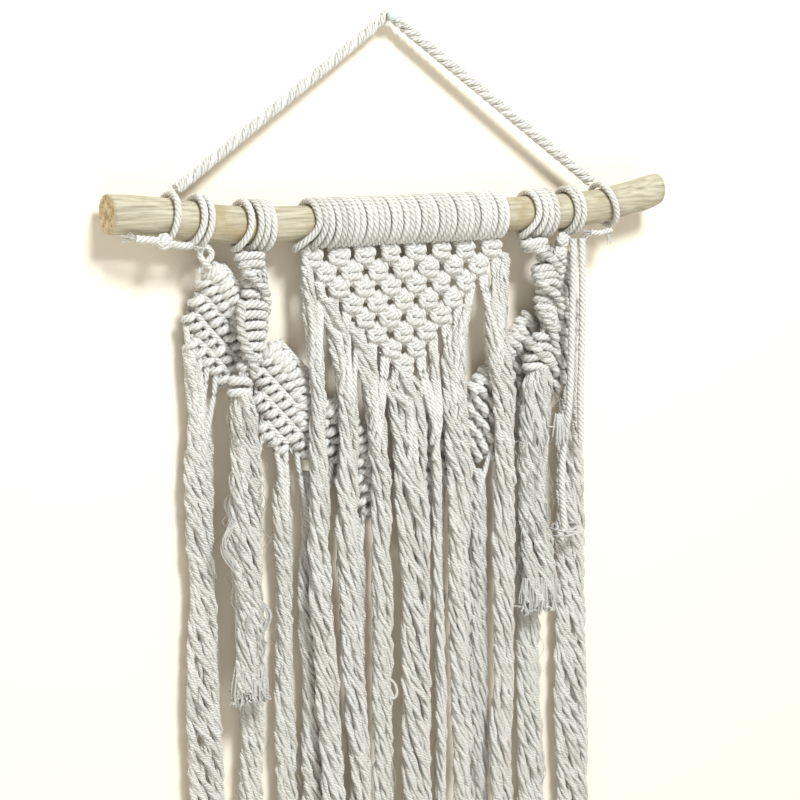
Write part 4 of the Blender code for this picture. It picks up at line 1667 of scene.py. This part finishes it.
class MACRAME_OT_headings(bpy.types.Operator):
    """Lays every turn of cord of the headings round the branch"""

    bl_idname = "macrame.headings"
    bl_label = "Headings"

    def execute(self, context):
        radius, lay = cord_sizes(context)
        rng = np.random.default_rng(SEED)
        for name, turns in HEADINGS.items():
            yarn = Yarn()
            flare = FLARES[name]
            for number, along in enumerate(turns):
                for gap in HEADING_GAPS if name == "heading_centre" else ():
                    away = along - gap
                    along += 0.42 * math.copysign(math.exp(-abs(away) / 4.0), away)
                reach = over_branch(along, radius)
                line = ring_line(along, reach, HEADING_POINTS, rng.uniform(-0.8, 0.8))
                # The turn is drawn aside most at the lower front, where the cord leaves the branch.
                turn = 2 * math.pi * np.arange(HEADING_POINTS) / HEADING_POINTS
                pull = np.clip(np.cos(turn - math.radians(248.0)), 0.0, 1.0) ** 3
                line[:, 0] += flare * math.exp(-1.1 * number) * pull
                line[:, 2] -= 0.12 * abs(flare) * math.exp(-1.1 * number) * pull
                yarn.lay(line, radius * rng.uniform(0.98, 1.04), rng.uniform(0, 1), closed=True)
            cords = corded(f"{name}_cords", yarn, cotton_material(), lay=lay)
            fitted(cords, name)
        return {"FINISHED"}


def twisted_strands(yarn, line, strands, offset, radius, lay, rng):
    """Strands that go round one another along a line, as in a rope."""
    run = run_of(line)
    heading = headings_along(line)
    side = np.cross(heading, (0.0, 1.0, 0.0))
    side /= np.linalg.norm(side, axis=1)[:, None]
    deep = np.cross(side, heading)
    for number in range(strands):
        turn = 2 * math.pi * (number / strands + run / lay)
        points = line + offset * (np.cos(turn)[:, None] * side + np.sin(turn)[:, None] * deep)
        yarn.lay(points, radius, rng.uniform(0, 1))


class MACRAME_OT_hanger(bpy.types.Operator):
    """Twists the hanger and ties its two ends to the branch"""

    bl_idname = "macrame.hanger"
    bl_label = "Hanger and ties"

    def execute(self, context):
        radius, lay = cord_sizes(context)
        rng = np.random.default_rng(SEED + 1)
        yarn = Yarn()
        line = smooth(HANGER, 1.4)
        twisted_strands(yarn, line, strands=3, offset=1.85, radius=radius * 0.9, lay=19.0, rng=rng)
        rope = fitted(corded("hanger_rope", yarn, cotton_material(), lay=lay), "hanger")
        self.tie_left(radius, lay, rng)
        self.tie_right(radius, lay, rng)
        return {"FINISHED"}

    def tie_left(self, radius, lay, rng):
        """One turn round the branch, a knot under it and its two tails."""
        ring = ring_line(TIE_LEFT_X, over_branch(TIE_LEFT_X, radius), count=84, lean=-4.0)
        yarn = Yarn()
        yarn.lay(ring, radius, tone=0.6, closed=True)
        lump(yarn, (-156.4, -26.2, -125.4), size=3.0, radius=radius * 1.05)
        yarn.lay(
            smooth([(-154.0, -26.0, -125.4), (-163.0, -25.6, -124.6), (-173.5, -24.6, -123.4)], 1.5),
            radius * 1.2,
            0.8,
        )
        yarn.lay(
            smooth([(-155.0, -25.6, -126.0), (-146.0, -24.6, -128.2), (-138.5, -23.6, -128.6)], 1.5),
            radius * 1.1,
            0.4,
        )
        self.threads(yarn, (-172.5, -24.7, -123.5), (-1.0, 0.1, 0.12), count=26, length=7.0, rng=rng)
        self.threads(yarn, (-138.8, -23.7, -128.6), (1.0, 0.0, -0.35), count=16, length=5.0, rng=rng)
        fitted(corded("tie_left_cord", yarn, cotton_material(), sides=10, lay=lay), "tie_left")

    def tie_right(self, radius, lay, rng):
        """One turn round the branch, whose end goes off to the left and comes apart."""
        ring = ring_line(TIE_RIGHT_X, over_branch(TIE_RIGHT_X, radius), count=84, lean=10.0)
        yarn = Yarn()
        yarn.lay(ring, radius, tone=0.6, closed=True)
        yarn.lay(
            smooth([(152.0, -21.0, -132.0), (143.0, -22.0, -133.4), (136.0, -21.6, -133.0)], 1.5),
            radius * 0.9,
            0.5,
        )
        self.threads(yarn, (136.5, -21.6, -133.0), (-1.0, 0.0, -0.1), count=18, length=6.0, rng=rng)
        self.threads(yarn, (150.0, -21.0, -134.0), (0.2, 0.0, -1.0), count=10, length=5.0, rng=rng)
        fitted(corded("tie_right_cord", yarn, cotton_material(), sides=10, lay=lay), "tie_right")

    def threads(self, yarn, start, way, count, length, rng):
        """Fine threads that come out of a cut end in one direction."""
        start = np.array(start)
        way = np.array(way)
        for _ in range(count):
            out = rng.normal(0.0, 1.0, 3)
            reach = length * rng.uniform(0.5, 1.1)
            middle = start + way * 0.5 * reach + out * 0.7
            end = start + way * reach + out * 1.6
            yarn.lay(smooth([start + out * 0.5, middle, end], 1.5), rng.uniform(0.16, 0.3), 0.9)


# One of the two cords that a square knot holds: along, depth, height from its middle.
HELD_CORD = (
    (-2.6, 0.9, 6.4),
    (-1.7, -0.6, 4.9),
    (-1.9, 0.4, 1.0),
    (-1.9, 0.4, -1.0),
    (-1.7, -0.6, -4.9),
    (-2.8, 0.9, -6.6),
)
# The four cords of a square knot: the two that are tied and the two that they hold.
KNOT_CORDS = (
    (
        (-4.9, 0.9, 5.6),
        (-4.4, -0.2, 3.9),
        (-3.6, -2.0, 2.6),
        (-1.4, -3.1, 2.2),
        (1.5, -3.1, 1.9),
        (3.6, -1.9, 1.8),
        (4.9, -0.6, 0.5),
        (4.6, -1.2, -1.2),
        (3.0, -2.6, -2.1),
        (1.2, -3.2, -2.3),
        (-1.5, -3.1, -2.1),
        (-3.6, -1.5, -2.4),
        (-4.4, 0.1, -3.7),
        (-4.9, 0.9, -5.6),
    ),
    (
        (4.9, 0.9, 5.6),
        (4.7, -1.0, 4.0),
        (4.4, -2.5, 2.3),
        (4.0, -0.4, 1.0),
        (0.0, 2.2, 0.8),
        (-4.2, -0.2, 1.5),
        (-4.9, -2.3, 0.7),
        (-4.7, -2.7, -0.9),
        (-3.9, -1.9, -2.4),
        (0.0, 2.2, -1.6),
        (4.0, -0.4, -1.4),
        (4.9, -2.0, -2.6),
        (4.7, -0.6, -4.0),
        (4.9, 0.9, -5.6),
    ),
    HELD_CORD,
    tuple((-along, depth, height) for along, depth, height in HELD_CORD),
)


def square_knot(radius):
    """The lines of one square knot about its middle."""
    yarn = Yarn()
    for number, line in enumerate(KNOT_CORDS):
        yarn.lay(smooth(line, 1.3) * (1.0, 0.95, 0.98), radius * 1.12, 0.5 + 0.12 * number)
    return yarn


class MACRAME_OT_net(bpy.types.Operator):
    """Ties the triangle of square knots"""

    bl_idname = "macrame.net"
    bl_label = "Net"

    def execute(self, context):
        radius, lay = cord_sizes(context)
        finish = knotted_material()
        rng = np.random.default_rng(SEED + 2)
        knot = corded("net_knot", square_knot(radius), finish, depth=0.16, lay=lay)
        places = []
        for row in range(NET_ROWS):
            knots = NET_ROWS - row
            height = FIRST_ROW_Z - row * ROW_PITCH
            for number in range(knots):
                along = NET_X + (number - 0.5 * (knots - 1)) * KNOT_PITCH
                places.append((np.array([along, NET_Y, height]) + rng.normal(0.0, 0.25, 3)) * MM)
        points = bpy.data.meshes.new("net_places")
        points.from_pydata([tuple(place) for place in places], [], [])
        inputs = {"Knot": knot, "Lean": 0.09, "Size change": 0.04, "Seed": SEED, "Material": finish}
        net = grown("net_knots", points, tree_named("knots_on_points", knots_tree), inputs)
        fitted(net, "net")
        bpy.data.objects.remove(knot, do_unlink=True)
        return {"FINISHED"}


def row_through(outline, middle, way, offset):
    """Where a straight row at an offset from the leaf's middle enters and leaves its outline."""
    across = np.array((-way[1], way[0]))
    origin = middle + across * offset
    hits = []
    for start, end in zip(outline, np.roll(outline, -1, axis=0)):
        edge = end - start
        facing = edge[0] * way[1] - edge[1] * way[0]
        if abs(facing) < 1e-9:
            continue
        gap = start - origin
        share = (gap[1] * way[0] - gap[0] * way[1]) / facing
        if 0.0 <= share < 1.0:
            hits.append(float(np.dot(start + share * edge - origin, way)))
    if len(hits) < 2:
        return None
    return origin + way * min(hits), origin + way * max(hits)


class MACRAME_OT_leaves(bpy.types.Operator):
    """Ties the leaves: rows of diagonal half hitches with the cords that pass between them"""

    bl_idname = "macrame.leaves"
    bl_label = "Leaves"

    def execute(self, context):
        radius, lay = cord_sizes(context)
        rng = np.random.default_rng(SEED + 3)
        arch = Yarn()
        arch.lay(
            smooth(
                [
                    (-1.1, 1.2, -3.0),
                    (-0.8, -1.9, -2.2),
                    (0.1, -3.2, 0.0),
                    (0.9, -1.9, 2.2),
                    (1.2, 1.2, 3.0),
                ],
                1.0,
            ),
            radius * 1.14,
            0.8,
        )
        arch.lay(
            smooth([(2.7, 2.4, -2.8), (3.2, 1.0, -1.6), (3.3, 0.6, 0.2), (3.0, 2.4, 2.6)], 1.0),
            radius * 0.8,
            0.0,
        )
        hitch = knotted("hitch", arch, sides=10, lay=lay)
        tree = tree_named("hitches_along_rows", hitches_tree)
        for name, outline in LEAVES.items():
            slant = math.radians(-46.0 if "left" in name else 226.0)
            way = np.array((math.cos(slant), math.sin(slant)))
            above = np.array((-way[1], way[0])) * (1.0 if "left" in name else -1.0)
            shape = np.array(outline)
            middle = 0.5 * (shape.min(axis=0) + shape.max(axis=0))
            ridged = "left" in name and "centre" not in name
            pitch = RIDGED_ROW_PITCH if ridged else PLAIN_ROW_PITCH
            rows = Yarn()
            cords = Yarn()
            # More rows than any leaf has room for: those that miss its outline are left out.
            for step in range(-7, 8):
                ends = row_through(shape, middle, way, step * pitch)
                if ends is None or np.linalg.norm(ends[1] - ends[0]) < SHORTEST_ROW:
                    continue
                first, last = ends[0] + way * 2.4, ends[1] - way * 2.6
                bow = above * rng.uniform(-0.7, 0.7)
                line = [first, 0.5 * (first + last) + bow, last]
                rows.lay(smooth([(x, BACK_Y, z) for x, z in line], 2.0), radius, 0.5)
                cords.lay(smooth([(x, BACK_Y + 0.8, z) for x, z in line], 3.0), radius, 0.2)
                if ridged:
                    high = [spot + above * 4.3 for spot in line]
                    cords.lay(smooth([(x, BACK_Y - 1.7, z) for x, z in high], 2.0), radius * 0.95, 0.8)
            self.warp_cords(cords, shape, radius, rng)
            self.edge_wraps(cords, LEAF_EDGES[name], -1.0 if "right" in name else 1.0, radius, rng)
            if "outer" in name:
                for yarn in (rows, cords):
                    self.lean_out(yarn, float(shape[:, 1].max()))
            if name == "leaf_left_outer":
                for line in LEAF_NECK:
                    cords.lay(smooth(line, 1.5), radius * 0.95, 0.8)
            inputs = {
                "Hitch": hitch,
                "Spacing": HITCH_SPACING * MM,
                "Size change": 0.08,
                "Seed": SEED,
                "Material": knotted_material(),
            }
            fitted(grown(f"{name}_hitches", rows.mesh(name), tree, inputs), name)
            fitted(knotted(f"{name}_cords", cords, sides=10, lay=lay))
        bpy.data.objects.remove(hitch, do_unlink=True)
        return {"FINISHED"}

    def lean_out(self, yarn, top):
        """The head of an outer leaf hangs from the branch's front, well off the wall."""
        for points in yarn.points:
            points[:, 1] -= 8.0 * np.clip(1.0 - (top - points[:, 2]) / 34.0, 0.0, 1.0)

    def edge_wraps(self, yarn, edge, side, radius, rng):
        """The large wraps that stand across the upper edge, round a cord that runs along it."""
        line = smooth([(x, BACK_Y - 0.2, z) for x, z in edge], 5.7)
        heading = headings_along(line)
        outward = side * np.stack([-heading[:, 2], np.zeros(len(line)), heading[:, 0]], axis=1)
        line = line - outward * 1.8
        yarn.lay(line + (0.0, 0.4, 0.0), radius * 1.1, 0.3)
        near = np.array((0.0, -1.0, 0.0))
        for place, way, out in zip(line, heading, outward):
            across = out + way * rng.uniform(0.1, 0.4)
            arch = [
                place - across * 4.8 - near * 1.6,
                place - across * 3.6 + near * 2.2,
                place - across * 0.4 + near * 3.6,
                place + across * 2.8 + near * 2.8,
                place + across * 4.2 - near * 1.6,
            ]
            yarn.lay(smooth(arch, 1.4), radius * rng.uniform(1.2, 1.36), rng.uniform(0.7, 1.0))

    def warp_cords(self, yarn, shape, radius, rng):
        """The cords behind the rows, which run down from row to row."""
        low, high = shape.min(axis=0), shape.max(axis=0)
        way = np.array((0.0, -1.0))
        middle = 0.5 * (low + high)
        count = int((high[0] - low[0]) / WARP_SPACING)
        for number in range(count):
            offset = (number - 0.5 * (count - 1)) * WARP_SPACING
            ends = row_through(shape, middle, way, offset)
            if ends is None or np.linalg.norm(ends[1] - ends[0]) < 8.0:
                continue
            (x0, z0), (x1, z1) = ends
            line = [
                (x0, BACK_Y + 1.2, z0 - 3.0),
                (0.5 * (x0 + x1), BACK_Y + 1.4, 0.5 * (z0 + z1)),
                (x1, BACK_Y + 1.2, z1 + 2.0),
            ]
            yarn.lay(smooth(line, 3.0), radius * 0.85, rng.uniform(0, 1))


class MACRAME_OT_sinnets(bpy.types.Operator):
    """Ties the two spiral sinnets: half knots stacked round a core, each turned on the last"""

    bl_idname = "macrame.sinnets"
    bl_label = "Sinnets"

    def execute(self, context):
        radius, lay = cord_sizes(context)
        rng = np.random.default_rng(SEED + 4)
        for name, rows in SINNETS.items():
            yarn = Yarn()
            for rung in RUNGS[name]:
                self.rung(yarn, rung, radius, rng)
            for ridge in RIDGES[name]:
                line = smooth(ridge, 1.4)
                twisted_strands(yarn, line, strands=2, offset=1.35, radius=radius * 0.84, lay=10.5, rng=rng)
            core = np.array([(along, TASSEL_Y, level, width) for level, along, width in rows])
            core = smooth(core, 3.0)
            for share in (-0.26, 0.0, 0.26):
                line = core[:, :3].copy()
                line[:, 0] += share * np.minimum(core[:, 3], 15.0)
                yarn.lay(line, radius * 1.1, 0.3)
            fitted(knotted(f"{name}_cords", yarn, sides=12, lay=lay), name)
        return {"FINISHED"}

    def rung(self, yarn, rung, radius, rng):
        """One half knot: a bar over the front, which goes back round the core."""
        left, left_z, right, right_z, front = rung
        turn = np.linspace(0.0, 2 * math.pi, 22, endpoint=False)
        across = np.cos(turn)
        deep = np.sin(turn)
        half = 0.5 * (right - left)
        flat = np.sign(deep) * np.abs(deep) ** 0.7
        points = np.stack(
            [
                0.5 * (left + right) + half * across,
                0.5 * (front + SINNET_BACK_Y) + 0.5 * (front - SINNET_BACK_Y) * flat,
                0.5 * (left_z + right_z) + 0.5 * (right_z - left_z) * across - 0.5 * np.cos(2 * turn),
            ],
            axis=1,
        )
        yarn.lay(points, radius * rng.uniform(1.2, 1.34), rng.uniform(0.3, 1.0), closed=True)


def nearest_bundle(bundles, along, height):
    """Where the nearest of some bundles has its middle at a height."""
    places = []
    for rows in bundles.values():
        table = np.array(rows)[::-1]
        places.append(float(np.interp(height, table[:, 0], table[:, 1])))
    return min(places, key=lambda place: abs(place - along))


def drawn_cord(yarn, start, bundles, depth, fall, radius, rng):
    """A cord that leaves a knot still laid, and goes down into the nearest bundle."""
    low = start[2] - fall
    aim = nearest_bundle(bundles, start[0], low) + rng.uniform(-2.4, 2.4)
    start = np.array(start)
    end = np.array((aim, depth, low))
    sag = start + (0.22 * (aim - start[0]), -1.0, -0.3 * fall)
    inner = end * 1.0
    inner[1] += 3.0
    inner[2] -= 16.0
    line = smooth([start + (0.0, 1.0, 3.0), start, sag, end, inner], 2.2)
    yarn.lay(line, radius * rng.uniform(0.9, 1.0), rng.uniform(0.4, 1.0))


class MACRAME_OT_fringe(bpy.types.Operator):
    """Hangs the fringe of the net and of the leaves, strand by strand"""

    bl_idname = "macrame.fringe"
    bl_label = "Fringe"

    def execute(self, context):
        settings = settings_of(context)
        radius, lay = cord_sizes(context)
        rng = np.random.default_rng(SEED + 5)
        layers = ((NET_FRINGE, FRINGE_Y, FRINGE_DEPTH), (LEAF_FRINGE, BACK_Y, BACK_DEPTH))
        for group, y, depth in layers:
            for name, bundles in group.items():
                yarn = Yarn()
                loose = Yarn()
                for rows in bundles.values():
                    hand = Hand(
                        settings,
                        bundle_lay=rng.uniform(105.0, 150.0),
                        ply_lay=rng.uniform(22.0, 31.0),
                    )
                    hanging_bundle(yarn, rows, y, depth, rng, hand)
                    flyaways(loose, rows, y, depth, count=10, rng=rng)
                fitted(stranded(f"{name}_strands", yarn, sides=6), name)
                fitted(stranded(f"{name}_fibres", loose, sides=3))
        self.net_cords(radius, lay, rng)
        self.leaf_cords(radius, lay, rng)
        stray = Yarn()
        stray.lay(smooth(STRAY_LOOP, 1.2), 0.85, 1.0)
        fitted(stranded("stray_loop", stray, sides=8))
        return {"FINISHED"}

    def net_cords(self, radius, lay, rng):
        """The cords that leave the net's outermost knots, row by row."""
        yarn = Yarn()
        for row in range(NET_ROWS):
            reach = 0.5 * (NET_ROWS - 1 - row) * KNOT_PITCH
            height = FIRST_ROW_Z - row * ROW_PITCH - 3.6
            for side, name in ((-1, "net_fringe_left"), (1, "net_fringe_right")):
                if row == NET_ROWS - 1:
                    name = "net_fringe_centre"
                for inset in (5.0, 2.0):
                    start = (NET_X + side * (reach + inset), NET_Y - 0.6, height - 0.4 * (5.0 - inset))
                    fall = rng.uniform(34.0, 48.0)
                    drawn_cord(yarn, start, NET_FRINGE[name], FRINGE_Y - 4.0, fall, radius, rng)
        fitted(corded("net_edge_cords", yarn, cotton_material(), sides=10, lay=lay))

    def leaf_cords(self, radius, lay, rng):
        """The cords that leave the lower edges of the leaves."""
        yarn = Yarn()
        for name, foot in LEAF_FOOT.items():
            group = "leaf_fringe_left" if "left" in name else "leaf_fringe_right"
            for along, height in foot:
                start = (along, BACK_Y - 0.6, height + 2.0)
                fall = rng.uniform(30.0, 46.0)
                drawn_cord(yarn, start, LEAF_FRINGE[group], BACK_Y - 2.8, fall, radius, rng)
        fitted(corded("leaf_foot_cords", yarn, cotton_material(), sides=10, lay=lay))


class MACRAME_OT_tassels(bpy.types.Operator):
    """Hangs the two tassels with their frayed ends"""

    bl_idname = "macrame.tassels"
    bl_label = "Tassels"

    def execute(self, context):
        settings = settings_of(context)
        rng = np.random.default_rng(SEED + 6)
        for name, rows in TASSELS.items():
            yarn = Yarn()
            hand = Hand(settings, bundle_lay=140.0, ply_lay=27.0, fullness=2.7)
            hand.ply *= 0.86
            hand.cord *= 0.85
            hanging_bundle(yarn, rows, TASSEL_Y, TASSEL_DEPTH, rng, hand)
            loose = Yarn()
            level, along, width = rows[-1]
            end = np.array((along, TASSEL_Y, level))
            frayed_end(loose, end, width, TASSEL_DEPTH, length=9.0, count=190, rng=rng)
            flyaways(loose, rows, TASSEL_Y, TASSEL_DEPTH, count=80, rng=rng)
            for bow in TASSEL_BOWS if name == "tassel_left" else ():
                bowed_threads(loose, bow, TASSEL_Y - 5.6, spread=1.1, count=16, rng=rng)
            fitted(stranded(f"{name}_strands", yarn, sides=6), name)
            fitted(stranded(f"{name}_threads", loose, sides=4))
        return {"FINISHED"}


class MACRAME_OT_ropes(bpy.types.Operator):
    """Hangs the two loose lengths of cord that still hold their lay"""

    bl_idname = "macrame.ropes"
    bl_label = "Loose ropes"

    def execute(self, context):
        lay = cord_sizes(context)[1]
        for name, route in ROPES.items():
            line = smooth(route, 1.1)
            yarn = Yarn()
            yarn.lay(line, ROPE_RADIUS, 0.7)
            rope = fitted(corded(f"{name}_cord", yarn, cotton_material(), lay=lay), name)
        rng = np.random.default_rng(SEED + 7)
        extras = Yarn()
        for place in ROPE_KNOTS:
            lump(extras, place, size=2.9, radius=2.1)
        fitted(knotted("rope_side_knots", extras, sides=10, lay=lay))
        threads = Yarn()
        turn = 2 * math.pi * np.arange(30) / 30
        for along, height, lean in ROPE_TIE:
            ring = [
                along + ROPE_TIE_WIDTH * np.cos(turn),
                ROPE_TIE_Y + ROPE_TIE_DEPTH * np.sin(turn),
                height + lean * np.cos(turn),
            ]
            threads.lay(np.stack(ring, axis=1), radius=0.75, tone=1.0, closed=True)
        self.tag(threads, rng)
        fitted(stranded("rope_threads", threads, sides=5))
        return {"FINISHED"}

    def tag(self, yarn, rng):
        """A short end of cord that has come apart into white threads beside the long rope."""
        for _ in range(44):
            spread = rng.normal(0.0, 1.0, 3) * (1.1, 0.6, 0.6)
            top = np.array((109.6, -26.6, -243.4)) + spread * 0.7
            middle = np.array((110.0, -28.4, -250.0)) + spread * (1.9, 1.0, 1.0)
            low = np.array((110.8, -27.8, -259.6)) + spread * (2.6, 1.4, 2.4)
            yarn.lay(smooth([top, middle, low], 2.0), rng.uniform(0.45, 0.7), 1.0)
        string = [(102.4, -26.0, -250.2), (106.4, -27.6, -250.6), (110.4, -27.4, -250.0)]
        yarn.lay(smooth(string, 1.5), 0.5, 1.0)


class MACRAME_PT_panel(bpy.types.Panel):
    bl_label = "Macrame"
    bl_idname = "MACRAME_PT_panel"
    bl_space_type = "VIEW_3D"
    bl_region_type = "UI"
    bl_category = "Macrame"

    def draw(self, context):
        settings = settings_of(context)
        for name in MacrameSettings.__annotations__:
            self.layout.prop(settings, name)
        for operator in OPERATORS:
            self.layout.operator(operator.bl_idname)


OPERATORS = (
    MACRAME_OT_stage,
    MACRAME_OT_hanger,
    MACRAME_OT_ropes,
    MACRAME_OT_branch,
    MACRAME_OT_headings,
    MACRAME_OT_net,
    MACRAME_OT_leaves,
    MACRAME_OT_sinnets,
    MACRAME_OT_fringe,
    MACRAME_OT_tassels,
)
CLASSES = (MacrameSettings, *OPERATORS, MACRAME_PT_panel)


def register():
    for made in CLASSES:
        bpy.utils.register_class(made)
    bpy.types.Scene.macrame_hanging = bpy.props.PointerProperty(type=MacrameSettings)


def unregister():
    del bpy.types.Scene.macrame_hanging
    for made in reversed(CLASSES):
        bpy.utils.unregister_class(made)


def main():
    register()
    bpy.ops.macrame.stage()
    bpy.ops.macrame.hanger()
    bpy.ops.macrame.ropes()
    bpy.ops.macrame.branch()
    bpy.ops.macrame.headings()
    bpy.ops.macrame.net()
    bpy.ops.macrame.leaves()
    bpy.ops.macrame.sinnets()
    bpy.ops.macrame.fringe()
    bpy.ops.macrame.tassels()


if __name__ == "__main__":
    main()
